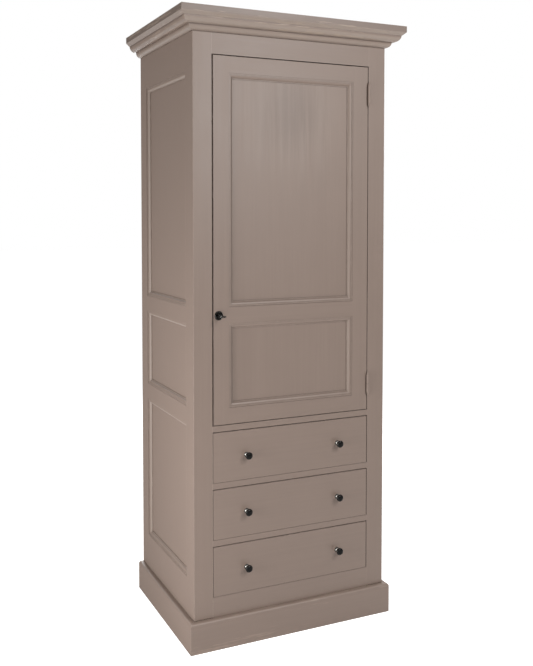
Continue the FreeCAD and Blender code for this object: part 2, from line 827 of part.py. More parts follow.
door_y = (face_y, door_back_y)
door_panel_y = (face_y + d.panel_setback, face_y + d.panel_setback + d.panel_thickness)
door_sight_x = (door_left + d.door_lock_stile, door_right - d.door_hinge_stile)
door_rails_z = {
    "bottom": (door_foot, door_foot + d.door_rail_height),
    "middle": (d.lock_height - d.door_rail_height / 2, d.lock_height + d.door_rail_height / 2),
    "top": (door_head - d.door_rail_height, door_head),
}
door_low_sight = (door_rails_z["bottom"][1], door_rails_z["middle"][0])
door_high_sight = (door_rails_z["middle"][1], door_rails_z["top"][0])

outward = turned_to((1, 0, 0), (0, 0, 1))
keyhole_radius = d.key_shank_radius + d.key_play
slot_half = d.key_bit_thickness / 2 + d.key_play
slot_reach = d.key_bit_reach + d.key_play


def keyhole(name, y):
    """The way for the key: a round hole with a slot below it."""
    hole = rod(name + "_hole", keyhole_radius, y[1] - y[0], key_x, y[1], d.lock_height, outward)
    slot = board(name + "_slot", (key_x - slot_half, key_x + slot_half), y,
                 (d.lock_height - slot_reach, d.lock_height))
    return [hole, slot]


def door_stile(name, x, inner_edge, step, extra):
    """A full-height stile with its outer arris and both ends rounded, grooved along its inner edge."""
    blank = eased_board(name + "_blank", x, door_y, (door_foot, door_head), d.door_edge_round,
                        [("x", step < 0), ("z", False), ("z", True)])

    def into(depth):
        return tuple(sorted([inner_edge, inner_edge - depth * step], key=value_of))

    waste = [board(name + "_groove", into(d.groove_depth), door_panel_y,
                   (door_low_sight[0] - d.groove_depth, door_high_sight[1] + d.groove_depth))]
    for key, (low, high) in door_rails_z.items():
        waste.append(board(f"{name}_mortise_{key}", into(d.door_tenon_length), door_panel_y,
                           (low + d.groove_depth, high - d.groove_depth)))
    piece(name, cut(name, blank, waste + extra))


case_x = (door_left + d.selvedge_thickness, door_left + d.selvedge_thickness + d.lock_case_width)
case_z = (d.lock_height - d.lock_case_height / 2, d.lock_height + d.lock_case_height / 2)
selvedge_x = (door_left, door_left + d.selvedge_thickness)
selvedge_z = (d.lock_height - d.selvedge_height / 2, d.lock_height + d.selvedge_height / 2)
case_bed = board("lock_case_bed", (door_left, case_x[1]), (case_front_y, case_back_y), case_z)
selvedge_bed = board("selvedge_bed", selvedge_x, (case_front_y, case_back_y), selvedge_z)
door_leaf_beds = [leaf_bed(f"door_leaf_bed_{key}", middle + d.washer_half + d.washer_play, door_leaf_x)
                  for key, middle in hinge_heights.items()]
door_stile("door_lock_stile", (door_left, door_sight_x[0]), door_sight_x[0], 1,
           [case_bed, selvedge_bed] + keyhole("stile_keyhole", (face_y, case_front_y)))
door_stile("door_hinge_stile", (door_sight_x[1], door_right), door_sight_x[1], -1, door_leaf_beds)

for key, (low, high) in door_rails_z.items():
    name = f"door_{key}_rail"
    if key == "middle":
        blank = board(name + "_blank", door_sight_x, door_y, (low, high))
    else:
        blank = eased_board(name + "_blank", door_sight_x, door_y, (low, high), d.door_edge_round,
                            [("z", key == "top")])
    tenon = board(name + "_tenon",
                  (door_sight_x[0] - d.door_tenon_length, door_sight_x[1] + d.door_tenon_length),
                  door_panel_y, (low + d.groove_depth, high - d.groove_depth))
    grooves = []
    if key != "bottom":
        grooves.append(board(name + "_lower_groove", door_sight_x, door_panel_y,
                             (low, low + d.groove_depth)))
    if key != "top":
        grooves.append(board(name + "_upper_groove", door_sight_x, door_panel_y,
                             (high - d.groove_depth, high)))
    piece(name, cut(name, joined(name, [blank, tenon]), grooves))

door_sticks = []
for key, sight in (("upper", door_high_sight), ("lower", door_low_sight)):
    piece(f"door_{key}_panel",
          board(f"door_{key}_panel_blank",
                (door_sight_x[0] - d.panel_tongue, door_sight_x[1] + d.panel_tongue), door_panel_y,
                (sight[0] - d.panel_tongue, sight[1] + d.panel_tongue)))

    def door_corner(right, up, z=sight):
        return (door_sight_x[right], door_panel_y[0], z[up])

    door_sticks += panel_frame(f"door_{key}", door_corner, (1, 0, 0), (0, -1, 0),
                               door_sight_x[1] - door_sight_x[0], sight[1] - sight[0])
group("door_mouldings", door_sticks)

# ---------------------------------------------------------------- hinges

taper_start = d.barrel_half - d.barrel_taper


def leaf(body, name, x, low, inner_y):
    """A flat leaf from the barrel back into the joint."""
    plan = [(x[0], inner_y), (x[1], inner_y), (x[1], d.leaf_depth), (x[0], d.leaf_depth)]
    pad(body, outline(sketch_in(body, name, "XY_Plane", low), plan), d.leaf_height)


def frame_half(name, middle):
    """The lower half of a lift-off hinge: knuckle, leaf and the pin that the door hangs on."""
    body = new_body(name)
    turning(body, outline(sketch_in(body, name + "_turning", "XZ_Plane"), [
        (0, -d.barrel_half),
        (d.barrel_tip, -d.barrel_half),
        (d.barrel_radius, -taper_start),
        (d.barrel_radius, -d.washer_half),
        (d.hinge_pin_radius, -d.washer_half),
        (d.hinge_pin_radius, d.hinge_pin_reach),
        (0, d.hinge_pin_reach),
    ]))
    leaf(body, name + "_leaf", (0, d.leaf_thickness), -d.washer_half - d.leaf_height, 0)
    return put(body, hinge_x, hinge_y, middle)


def door_half(name, middle):
    """The upper half: a knuckle bored for the pin, and its leaf."""
    body = new_body(name)
    bore = d.hinge_pin_radius + d.hinge_pin_play
    foot = d.washer_half + d.washer_play
    turning(body, outline(sketch_in(body, name + "_turning", "XZ_Plane"), [
        (bore, foot),
        (d.barrel_radius, foot),
        (d.barrel_radius, taper_start),
        (d.barrel_tip, d.barrel_half),
        (0, d.barrel_half),
        (0, d.hinge_pin_reach + d.washer_half),
        (bore, d.hinge_pin_reach + d.washer_half),
    ]))
    wall_middle = (bore + d.barrel_radius) / 2
    leaf(body, name + "_leaf", (-d.leaf_thickness, 0), foot, wall_middle)
    return put(body, hinge_x, hinge_y, middle)


def washer(name, middle):
    body = new_body(name)
    sketch = sketch_in(body, name + "_plan", "XY_Plane", -d.washer_half)
    ring(sketch, d.barrel_radius)
    ring(sketch, d.hinge_pin_radius)
    pad(body, sketch, 2 * d.washer_half)
    return put(body, hinge_x, hinge_y, middle)


group("hinge_frame_leaves", [frame_half(f"hinge_{key}_frame", z) for key, z in hinge_heights.items()])
group("hinge_door_leaves", [door_half(f"hinge_{key}_door", z) for key, z in hinge_heights.items()])
group("hinge_washers", [washer(f"hinge_{key}_washer", z) for key, z in hinge_heights.items()])

# ---------------------------------------------------------------- lock, strike and key

case_inside_x = (case_x[0], case_x[1] - d.lock_wall)
case_inside_y = (case_front_y + d.lock_wall, case_back_y - d.lock_wall)
case_inside_z = (case_z[0] + d.lock_wall, case_z[1] - d.lock_wall)
case_shell = joined("lock_case", [
    board("lock_case_blank", case_x, (case_front_y, case_back_y), case_z),
    board("selvedge_blank", selvedge_x, (case_front_y, case_back_y), selvedge_z),
])
piece("lock_case", cut("lock_case", case_shell, [
    board("lock_case_inside", case_inside_x, case_inside_y, case_inside_z),
    board("bolt_way", selvedge_x, bolt_way_y, bolt_way_z),
] + keyhole("case_keyhole", (case_front_y, case_inside_y[0]))))
piece("strike_plate", cut("strike_plate", board("strike_plate_blank", strike_x, strike_y, strike_z),
                          [board("strike_slot", strike_x, bolt_way_y, bolt_way_z)]))

# the bolt's tail has a gate that the key's bit swings through as it throws the bolt
bolt_face = door_left + d.bolt_play
bolt_head_x = (bolt_face, bolt_face + d.bolt_head_length)
gate_left = key_x + d.bolt_gate_start
gate_right = gate_left + d.bolt_gate_length
tail_x = (bolt_head_x[1], gate_right + d.bolt_tail_end)
tail_y = (bolt_y[1] - d.bolt_tail_thickness, bolt_y[1])
tail_z = (bolt_top - d.bolt_tail_height, bolt_top)
bolt_blank = joined("lock_bolt", [board("bolt_head", bolt_head_x, bolt_y, bolt_z),
                                  board("bolt_tail", tail_x, tail_y, tail_z)])
piece("lock_bolt", cut("lock_bolt", bolt_blank, [
    board("bolt_gate", (gate_left, gate_right), tail_y,
          (d.lock_height - d.key_bit_reach - 2 * d.key_play, bolt_top))]))

# the key lies along local Z, which points out of the door; its bow and bit lie level
key_tip = face_y - (case_inside_y[1] - d.key_play)
bit_start = key_tip + d.bolt_play
key_bow_foot = d.key_bow_centre - d.key_bow_radius
collar_start = d.escutcheon_height + d.key_play
key_body = new_body("key_body")
turning(key_body, outline(sketch_in(key_body, "key_shank", "XZ_Plane"), [
    (0, key_tip),
    (d.key_shank_radius, key_tip),
    (d.key_shank_radius, collar_start),
    (d.key_collar_radius, collar_start),
    (d.key_collar_radius, collar_start + d.key_collar_length),
    (d.key_shank_radius, collar_start + d.key_collar_length),
    (d.key_shank_radius, key_bow_foot + d.key_bow_thickness / 2),
    (0, key_bow_foot + d.key_bow_thickness / 2),
]))
bow = sketch_in(key_body, "key_bow", "XZ_Plane")
ring(bow, d.key_bow_radius, 0, d.key_bow_centre)
ring(bow, d.key_bow_hole, 0, d.key_bow_centre)
pad(key_body, bow, d.key_bow_thickness, both_ways=True)
bit = outline(sketch_in(key_body, "key_bit", "XZ_Plane"), [
    (0, bit_start),
    (d.key_bit_reach, bit_start),
    (d.key_bit_reach, bit_start + d.key_bit_length),
    (0, bit_start + d.key_bit_length),
])
pad(key_body, bit, d.key_bit_thickness, both_ways=True)
piece("key", put(key_body, key_x, face_y, d.lock_height, outward))

# a turned rose, bevelled all round its edge
rose = new_body("escutcheon_rose")
turning(rose, outline(sketch_in(rose, "escutcheon_section", "XZ_Plane"), [
    (0, 0),
    (d.escutcheon_radius, 0),
    (d.escutcheon_radius - d.escutcheon_bevel, d.escutcheon_height),
    (0, d.escutcheon_height),
]))
put(rose, key_x, face_y, d.lock_height, outward)
piece("escutcheon", cut("escutcheon", rose,
                        keyhole("escutcheon_keyhole", (face_y - d.escutcheon_height - SAW_RUN, face_y))))

# ---------------------------------------------------------------- drawers and knobs

side_outer = half_opening - d.drawer_gap_side
side_inner = side_outer - d.drawer_side_thickness
drawer_front_y = (face_y, face_y + d.drawer_front_thickness)
drawer_lap_y = (drawer_front_y[1] - d.drawer_front_lap, drawer_front_y[1])
drawer_end_y = back_rail_y[0] - d.drawer_back_clearance
drawer_back_y = (drawer_end_y - d.drawer_side_thickness, drawer_end_y)
drawer_side_x = {"left": (-side_outer, -side_inner), "right": (side_inner, side_outer)}
groove_x = (-(side_inner + d.drawer_bottom_groove), side_inner + d.drawer_bottom_groove)
groove_y = (drawer_front_y[1] - d.drawer_bottom_groove, drawer_end_y)
knob_places = {"left": -d.knob_spacing / 2, "right": d.knob_spacing / 2}


def knob(name, x, z):
    """A turned knob with a bevelled head, its neck on the drawer front."""
    body = new_body(name)
    turning(body, outline(sketch_in(body, name + "_turning", "XZ_Plane"), [
        (0, 0),
        (d.knob_neck_radius, 0),
        (d.knob_neck_radius, d.knob_head_start),
        (d.knob_radius, d.knob_head_start),
        (d.knob_radius, d.knob_bevel_start),
        (d.knob_radius - d.knob_bevel, d.knob_length),
        (0, d.knob_length),
    ]))
    return put(body, x, face_y, z, outward)


def tails(name, x, root_y, tip_y, z, count):
    """A row of dovetails across one corner of a drawer, flared from their root to their tip."""
    body = new_body(name)
    sketch = sketch_in(body, name + "_outline", "YZ_Plane", x[0])
    pitch = (z[1] - z[0]) / count
    for number in range(count):
        foot = z[0] + pitch * number + d.dovetail_pin / 2
        head = foot + pitch - d.dovetail_pin
        outline(sketch, [(tip_y, foot), (root_y, foot + d.dovetail_flare),
                         (root_y, head - d.dovetail_flare), (tip_y, head)])
    pad(body, sketch, x[1] - x[0])
    return body


def drawer(number, floor):
    """A drawer box: sides dovetailed into front and back, the bottom held in grooves.

    The tails at the front stop short of its face, and the back stands on the bottom.
    """
    name = f"drawer_{number}"
    front_z = (floor + d.drawer_gap_foot, floor + d.drawer_opening_height - d.drawer_gap_top)
    side_foot = floor + d.drawer_slide_play
    side_z = (side_foot, floor + d.drawer_opening_height - d.drawer_side_drop)
    bottom_z = (side_foot + d.drawer_bottom_lift,
                side_foot + d.drawer_bottom_lift + d.drawer_bottom_thickness)
    back_z = (bottom_z[1], side_z[1])
    knob_middle = (front_z[0] + front_z[1]) / 2

    front_waste = [board(name + "_front_groove", groove_x, groove_y, bottom_z)]
    back_waste = []
    for word, x in drawer_side_x.items():
        front_waste.append(tails(f"{name}_front_tails_{word}", x, drawer_lap_y[1], drawer_lap_y[0],
                                 side_z, FRONT_TAIL_COUNT))
        back_waste.append(tails(f"{name}_back_tails_{word}", x, *drawer_back_y, back_z, BACK_TAIL_COUNT))

    whole_x = (-side_outer, side_outer)
    front_blank = eased_board(name + "_front_blank", whole_x, drawer_front_y, front_z, d.drawer_edge_round,
                              [("x", False), ("x", True), ("z", False), ("z", True)])
    front = cut(name + "_front", front_blank, front_waste)
    box_back = cut(name + "_back", board(name + "_back_blank", whole_x, drawer_back_y, back_z), back_waste)
    box_sides = [cut(f"{name}_side_{word}",
                     board(f"{name}_side_{word}_blank", x, (drawer_lap_y[0], drawer_end_y), side_z),
                     [front, box_back, board(f"{name}_side_{word}_groove", groove_x, groove_y, bottom_z)])
                 for word, x in drawer_side_x.items()]
    piece(name + "_front", front)
    group(name + "_box", box_sides + [box_back])
    piece(name + "_bottom", board(name + "_bottom_board", groove_x, groove_y, bottom_z))
    group(name + "_knobs", [knob(f"{name}_knob_{word}", x, knob_middle) for word, x in knob_places.items()])


for step, floor in enumerate(reversed(drawer_floors), start=1):
    drawer(step, floor)

# ---------------------------------------------------------------- checks and files

doc.recompute()
for thing in doc.Objects:
    if "Invalid" in thing.State or "Error" in thing.State:
        raise RuntimeError(f"{thing.Label} did not build: {thing.State}")
for thing in pieces:
    if thing.Shape.isNull() or not thing.Shape.isValid() or not thing.Shape.Solids:
        raise RuntimeError(f"{thing.Label} has no valid solid")

os.makedirs("parts", exist_ok=True)
for thing in pieces:
    thing.Shape.exportStep(os.path.join("parts", thing.Label + ".step"))
print(len(pieces), "sub-parts written")
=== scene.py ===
import math

import bmesh
import bpy
from mathutils import Matrix, Vector


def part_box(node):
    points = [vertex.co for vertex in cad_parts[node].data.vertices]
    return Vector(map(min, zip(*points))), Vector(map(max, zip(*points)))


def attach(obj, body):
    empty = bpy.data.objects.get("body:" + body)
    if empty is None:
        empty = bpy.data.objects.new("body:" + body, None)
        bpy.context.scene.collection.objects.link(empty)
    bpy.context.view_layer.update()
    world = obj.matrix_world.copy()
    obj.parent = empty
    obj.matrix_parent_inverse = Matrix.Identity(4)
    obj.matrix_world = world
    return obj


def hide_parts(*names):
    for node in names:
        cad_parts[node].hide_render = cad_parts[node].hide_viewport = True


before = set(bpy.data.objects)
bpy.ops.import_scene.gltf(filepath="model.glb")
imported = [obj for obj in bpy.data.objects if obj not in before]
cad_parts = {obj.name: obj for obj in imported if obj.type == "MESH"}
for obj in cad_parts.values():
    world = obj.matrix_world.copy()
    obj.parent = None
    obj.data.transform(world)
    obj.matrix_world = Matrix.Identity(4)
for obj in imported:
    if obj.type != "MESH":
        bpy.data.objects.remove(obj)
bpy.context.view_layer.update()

# ---- Face frame -------------------------------------------------------------------------------
# Two full-height stiles with top, bottom and three drawer rails tenoned into them, planed flush.
# It's pine under two coats of taupe eggshell, laid off with a brush along the grain of each piece.

PAINT_DEEP = (0.247, 0.183, 0.1495, 1)
PAINT_PALE = (0.262, 0.195, 0.160, 1)
PAINT_WORN_AND_LIT = (0.43, 0.355, 0.305, 1)
PAINT_DRY = (0.40, 0.31, 0.245, 1)
PAINT_PATCH_LIGHT = (0.310, 0.240, 0.200, 1)
PAINT_SHADE_PATCH = (0.208, 0.155, 0.127, 1)
# Colour of painted shade, and of dirt and dark joints.
SHADE_AND_DIRT = (0.022, 0.014, 0.009, 1)
GRAIN_TURNS = {"level": (0, 0, 0), "upright": (0, math.pi / 2, 0), "deep": (0, 0, -math.pi / 2)}


def add(tree, kind, settings=None, fed=(), **named):
    """Put one node in a tree: fed fills its inputs in order or by number, the rest go by name."""
    node = tree.nodes.new("ShaderNode" + kind)
    for key, value in (settings or {}).items():
        setattr(node, key, value)
    filled = list(fed.items() if isinstance(fed, dict) else enumerate(fed))
    filled += [(key.replace("_", " "), value) for key, value in named.items()]
    for place, value in filled:
        if isinstance(value, bpy.types.NodeSocket):
            tree.links.new(value, node.inputs[place])
        else:
            node.inputs[place].default_value = value
    return node


def reckon(tree, operation, *values):
    """Arithmetic on numbers."""
    return add(tree, "Math", {"operation": operation}, values).outputs[0]


def vectors(tree, operation, *values):
    """Arithmetic on vectors. A dot product or a length is a number."""
    node = add(tree, "VectorMath", {"operation": operation}, values)
    return node.outputs["Value" if operation in ("DOT_PRODUCT", "LENGTH") else "Vector"]


def stretched(tree, vector, scale):
    """A vector with each axis multiplied by its own scale."""
    return vectors(tree, "MULTIPLY", vector, scale)


def axes_of(tree, vector):
    """A vector's X, Y and Z, each on its own."""
    return add(tree, "SeparateXYZ", Vector=vector).outputs


def noise(tree, vector, detail, roughness=0.5):
    """Cloudy noise, one cell to each metre of the vector."""
    return add(tree, "TexNoise", Vector=vector, Scale=1, Detail=detail, Roughness=roughness).outputs["Fac"]


def eased(tree, value, low, high, low_out=0.0, high_out=1.0):
    """The value's place between two limits, with soft ends."""
    return add(tree, "MapRange", {"interpolation_type": "SMOOTHSTEP"},
               (value, low, high, low_out, high_out)).outputs[0]


def tinted(tree, share, first, second):
    """One colour going over into another."""
    return add(tree, "Mix", {"data_type": "RGBA"}, {0: share, 6: first, 7: second}).outputs[2]


def effect(name, inputs, outputs):
    """A named group of nodes, with its own inputs and outputs, to place in several materials."""
    tree = bpy.data.node_groups.new(name, "ShaderNodeTree")
    for label, kind, value in inputs:
        socket = tree.interface.new_socket(name=label, in_out="INPUT", socket_type="NodeSocket" + kind)
        socket.default_value = value
    for label in outputs:
        tree.interface.new_socket(name=label, in_out="OUTPUT", socket_type="NodeSocketFloat")
    return tree, tree.nodes.new("NodeGroupInput").outputs, tree.nodes.new("NodeGroupOutput").inputs


def new_finish(name):
    """A material with nothing in it yet, and its tree."""
    material = bpy.data.materials.new(name)
    material.use_nodes = True
    material.node_tree.nodes.clear()
    return material, material.node_tree


def make_brush_marks():
    """What a brush leaves in paint: bristle lines, streaks, laps and cloudy patches, all along X."""
    tree, given, made = effect("brush_marks", [("Vector", "Vector", (0, 0, 0))],
                               ["Tone", "Height", "Dashes"])
    bristles = noise(tree, stretched(tree, given["Vector"], (9, 700, 700)), 2, 0.6)
    streaks = noise(tree, stretched(tree, given["Vector"], (2.6, 130, 130)), 3, 0.55)
    laps = noise(tree, stretched(tree, given["Vector"], (1.3, 22, 22)), 2)
    patches = noise(tree, stretched(tree, given["Vector"], (7, 7, 7)), 3)
    fine = reckon(tree, "ADD", reckon(tree, "MULTIPLY", bristles, 0.18),
                  reckon(tree, "MULTIPLY", streaks, 0.34))
    broad = reckon(tree, "ADD", reckon(tree, "MULTIPLY", laps, 0.26),
                   reckon(tree, "MULTIPLY", patches, 0.22))
    tree.links.new(eased(tree, reckon(tree, "ADD", fine, broad), 0.36, 0.64), made["Tone"])
    tree.links.new(fine, made["Height"])
    dry = noise(tree, stretched(tree, given["Vector"], (14, 210, 210)), 2, 0.6)
    tree.links.new(eased(tree, reckon(tree, "MULTIPLY", dry, laps), 0.30, 0.36), made["Dashes"])
    return tree


def make_wear_and_shade():
    """Wear along the arrises that face the Across axes, and darkening in the crevices that is painted shade
    with settled dirt.

    Upward is zero on the arrises under a piece.
    """
    tree, given, made = effect("wear_and_shade", [("Vector", "Vector", (0, 0, 0)), ("Across", "Vector", (1, 1, 1)),
                                        ("Reach", "Float", 0.0015), ("Depth", "Float", 0.006)],
                               ["Rub", "Upward", "Shade_and_dirt"])
    rounded = add(tree, "Bevel", {"samples": 6}, Radius=given["Reach"]).outputs[0]
    flat = add(tree, "NewGeometry").outputs["True Normal"]
    lean = vectors(tree, "SUBTRACT", rounded, flat)
    own_lean = add(tree, "VectorTransform",
                   {"vector_type": "VECTOR", "convert_from": "WORLD", "convert_to": "OBJECT"},
                   (lean,)).outputs[0]
    tree.links.new(eased(tree, axes_of(tree, own_lean)["Z"], -0.05, -0.01), made["Upward"])
    across = vectors(tree, "DOT_PRODUCT", vectors(tree, "ABSOLUTE", own_lean), given["Across"])
    broken = noise(tree, stretched(tree, given["Vector"], (26, 90, 90)), 3, 0.6)
    tree.links.new(reckon(tree, "MULTIPLY", eased(tree, across, 0.05, 0.5),
                          eased(tree, broken, 0.3, 0.66, 0.25, 1)), made["Rub"])
    # The crevice output is painted shade with dirt: darker where ambient occlusion finds the surface closed
    # in.
    openness = add(tree, "AmbientOcclusion", {"samples": 8}, Distance=given["Depth"]).outputs["AO"]
    tree.links.new(eased(tree, openness, 0.40, 0.86, 1, 0), made["Shade_and_dirt"])
    return tree


brush_marks = make_brush_marks()
wear_and_shade_marks = make_wear_and_shade()


def painted_wood(name, grain, across, shift, rub=0.5, dashes=0.0, cloud=None, reach=0.0015, under=0.0,
                 fore=0.0, fascia=0.0, lee=0.0, gap_shade=None, crevice_shade=(0.006, 0.95)):
    """Satin paint brushed along the grain, and flatter where it faces sideways.

    Shift moves the marks along, so that no two pieces have the same. Across names the axes whose arrises are
    rubbed, rub is how much and reach how wide. Arrises where a gap runs along them get painted shade: that
    argument gives how dark, between which distances from the middle, and between which heights, and the shade
    is weaker on arrises under a piece. Dashes is how much of a dry brush shows. Under and fore are how much
    paler, as painted light, the faces that look down and forward are, and fascia is how much painted shade
    the upright ones get. Lee is how much painted shade the faces that lean to the right get, and how much
    paler, as painted light, those that lean to the left are. Cloud is the middle of a painted shade patch,
    with paler painted streaks round it, and how often its half width goes into a metre along each axis. The
    crevice argument is how far painted shade and dirt come out of the corners, and how dark they are.
    """
    material, tree = new_finish(name)
    place = add(tree, "TexCoord").outputs["Object"]
    along = add(tree, "Mapping", Vector=place, Rotation=GRAIN_TURNS[grain],
                Location=(shift, shift, shift)).outputs[0]
    marks = add(tree, "Group", {"node_tree": brush_marks}, Vector=along)
    shade_and_dirt_reach, shade_and_dirt_share = crevice_shade
    wear_and_shade = add(tree, "Group", {"node_tree": wear_and_shade_marks}, Vector=along, Across=across, Reach=reach,
               Depth=shade_and_dirt_reach)
    colour = tinted(tree, marks.outputs["Tone"], PAINT_DEEP, PAINT_PALE)
    faces = axes_of(tree, add(tree, "TexCoord").outputs["Normal"])
    # Faces that look down or forward are painted paler, as painted light.
    if under:
        colour = tinted(tree, eased(tree, faces["Z"], -0.5, -0.1, under, 0), colour, PAINT_WORN_AND_LIT)
    if fore:
        colour = tinted(tree, eased(tree, faces["Y"], -0.6, -0.15, fore, 0), colour, PAINT_WORN_AND_LIT)
    # Upright faces get painted shade.
    if fascia:
        upright = eased(tree, reckon(tree, "ABSOLUTE", faces["Z"]), 0.05, 0.3, fascia, 0)
        colour = tinted(tree, upright, colour, SHADE_AND_DIRT)
    # Faces that lean right get painted shade, and faces that lean left painted light.
    if lee:
        colour = tinted(tree, eased(tree, faces["X"], 0.1, 0.45, 0, lee), colour, SHADE_AND_DIRT)
        colour = tinted(tree, eased(tree, faces["X"], -0.6, -0.15, 0.7 * lee, 0), colour, PAINT_WORN_AND_LIT)
    # A painted shade patch, with paler painted streaks round it.
    if cloud is not None:
        centre, size = cloud
        offset = vectors(tree, "SUBTRACT", place, centre)
        spread = vectors(tree, "LENGTH", stretched(tree, offset, size))
        strokes = noise(tree, stretched(tree, along, (1.6, 44, 44)), 4, 0.75)
        bands = eased(tree, strokes, 0.36, 0.66, 0, 0.65)
        around = eased(tree, spread, 0.4, 1.6, 1, 0)
        colour = tinted(tree, reckon(tree, "MULTIPLY", around, bands), colour, PAINT_PATCH_LIGHT)
        patch = reckon(tree, "MULTIPLY", eased(tree, spread, 0.15, 1, 0.8, 0),
                       eased(tree, bands, 0, 1, 1, 0.5))
        colour = tinted(tree, patch, colour, PAINT_SHADE_PATCH)
    if dashes:
        colour = tinted(tree, reckon(tree, "MULTIPLY", marks.outputs["Dashes"], dashes), colour, PAINT_DRY)
    colour = tinted(tree, reckon(tree, "MULTIPLY", wear_and_shade.outputs["Rub"], rub), colour, PAINT_WORN_AND_LIT)
    # Corners and crevices darken with painted shade and dirt, less on faces that look up.
    shade_by_facing = eased(tree, faces["Z"], 0.2, 0.7, shade_and_dirt_share, shade_and_dirt_share / 3)
    painted_shade_and_dirt = reckon(tree, "MULTIPLY", wear_and_shade.outputs["Shade_and_dirt"], shade_by_facing)
    colour = tinted(tree, painted_shade_and_dirt, colour, SHADE_AND_DIRT)
    # Arrises along a gap get painted shade, weaker on the arrises under a piece.
    if gap_shade:
        gap_shade_share, distances, heights = gap_shade
        spot = axes_of(tree, place)
        dark = reckon(tree, "MULTIPLY", eased(tree, wear_and_shade.outputs["Rub"], 0.02, 0.14, 0, gap_shade_share),
                      eased(tree, wear_and_shade.outputs["Upward"], 0, 1, 0.1, 1))
        aside = reckon(tree, "ABSOLUTE", spot["X"])
        for value, (low, high) in ((aside, distances), (spot["Z"], heights)):
            within = reckon(tree, "MULTIPLY", reckon(tree, "GREATER_THAN", value, low),
                            reckon(tree, "LESS_THAN", value, high))
            dark = reckon(tree, "MULTIPLY", dark, within)
        colour = tinted(tree, dark, colour, SHADE_AND_DIRT)
        painted_shade_and_dirt = reckon(tree, "MAXIMUM", painted_shade_and_dirt, dark)
    bump = add(tree, "Bump", Height=marks.outputs["Height"], Strength=0.22, Distance=0.0006).outputs[0]
    flatter = eased(tree, reckon(tree, "ABSOLUTE", faces["X"]), 0.7, 0.95, 0, 0.42)
    satin = eased(tree, marks.outputs["Tone"], 0, 1, 0.37, 0.45)
    sheen = eased(tree, painted_shade_and_dirt, 0, 0.8, 0.45, 0.04)
    paint = add(tree, "BsdfPrincipled", Base_Color=colour, Normal=bump, Specular_IOR_Level=sheen,
                Roughness=reckon(tree, "ADD", satin, flatter))
    add(tree, "OutputMaterial", Surface=paint.outputs[0])
    return material


def dress(material, *nodes):
    """Give the solids of these nodes their finish."""
    for name in nodes:
        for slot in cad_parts[name].material_slots:
            slot.material = material


# The left stile's arrises along the door's gap get painted shade between the door's heights, and the top rail
# gets a little painted shade under the cornice.
DOOR_MARGIN = 0.002
door_opening = (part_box("door_bottom_rail")[0].z - DOOR_MARGIN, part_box("door_top_rail")[1].z + DOOR_MARGIN)
dress(painted_wood("paint_left_stile", "upright", (1, 0, 0), 0.0, rub=0.75, reach=0.003,
                   gap_shade=(0.8, (0, 0.3), door_opening)), "front_left_stile")
dress(painted_wood("paint_right_stile", "upright", (1, 0, 0), 3.1), "front_right_stile")
dress(painted_wood("paint_top_rail", "level", (0, 0, 0.4), 1.2, fascia=0.04), "front_top_rail")
dress(painted_wood("paint_drawer_rails", "level", (0, 0, 0.4), 1.7, crevice_shade=(0.004, 0.5)),
      "drawer_rails")
dress(painted_wood("paint_bottom_rail", "level", (0, 0, 0.4), 2.3, crevice_shade=(0.004, 0.45)),
      "front_bottom_rail")

# ---- Sides ------------------------------------------------------------------------------------
# Each side is two stiles and four rails of 22 mm pine, with three thin panels held loose in grooves.
# Rails are brushed front to back, stiles and panels up and down.

for number, side in enumerate(("left", "right")):
    dress(painted_wood(f"paint_{side}_side_stiles", "upright", (0, 0, 0), 4.3 + number,
                       crevice_shade=(0.006, 0.5)), f"{side}_side_front_stile", f"{side}_side_rear_stile")
    dress(painted_wood(f"paint_{side}_side_rails", "deep", (0, 0, 0.4), 6.2 + number,
                       crevice_shade=(0.006, 0.5)), f"{side}_side_rails")
    dress(painted_wood(f"paint_{side}_side_panels", "upright", (0, 0, 0), 8.6 + number,
                       crevice_shade=(0.005, 0.5)), f"{side}_side_panels")

# ---- Panel mouldings of the sides -------------------------------------------------------------
# Planted ovolo mouldings, mitred at the corners and pinned to the frame over each panel's edge.
# The brush dragged round them, so the paint is thinner on their edges. Their faces that look down or forward
# are painted paler, as painted light.

for number, side in enumerate(("left", "right")):
    dress(painted_wood(f"paint_{side}_side_mouldings", "upright", (1, 1, 1), 11.3 + number, rub=0.9,
                       under=0.4, fore=0.4, crevice_shade=(0.004, 0.3)), f"{side}_side_mouldings")

# ---- Back, top and inside ---------------------------------------------------------------------
# Tongued back boards, back rails, top and bottom boards, cleats, drawer runners and guides and the
# door's stop are planed pine with no finish. Shelves and deck are pine, painted like the outside.

PINE_PALE = (0.66, 0.47, 0.275, 1)
PINE_WARM = (0.50, 0.315, 0.150, 1)
PINE_KNOT = (0.165, 0.075, 0.032, 1)
PINE_GREY = (0.40, 0.30, 0.20, 1)
YEAR_RING = 0.0052


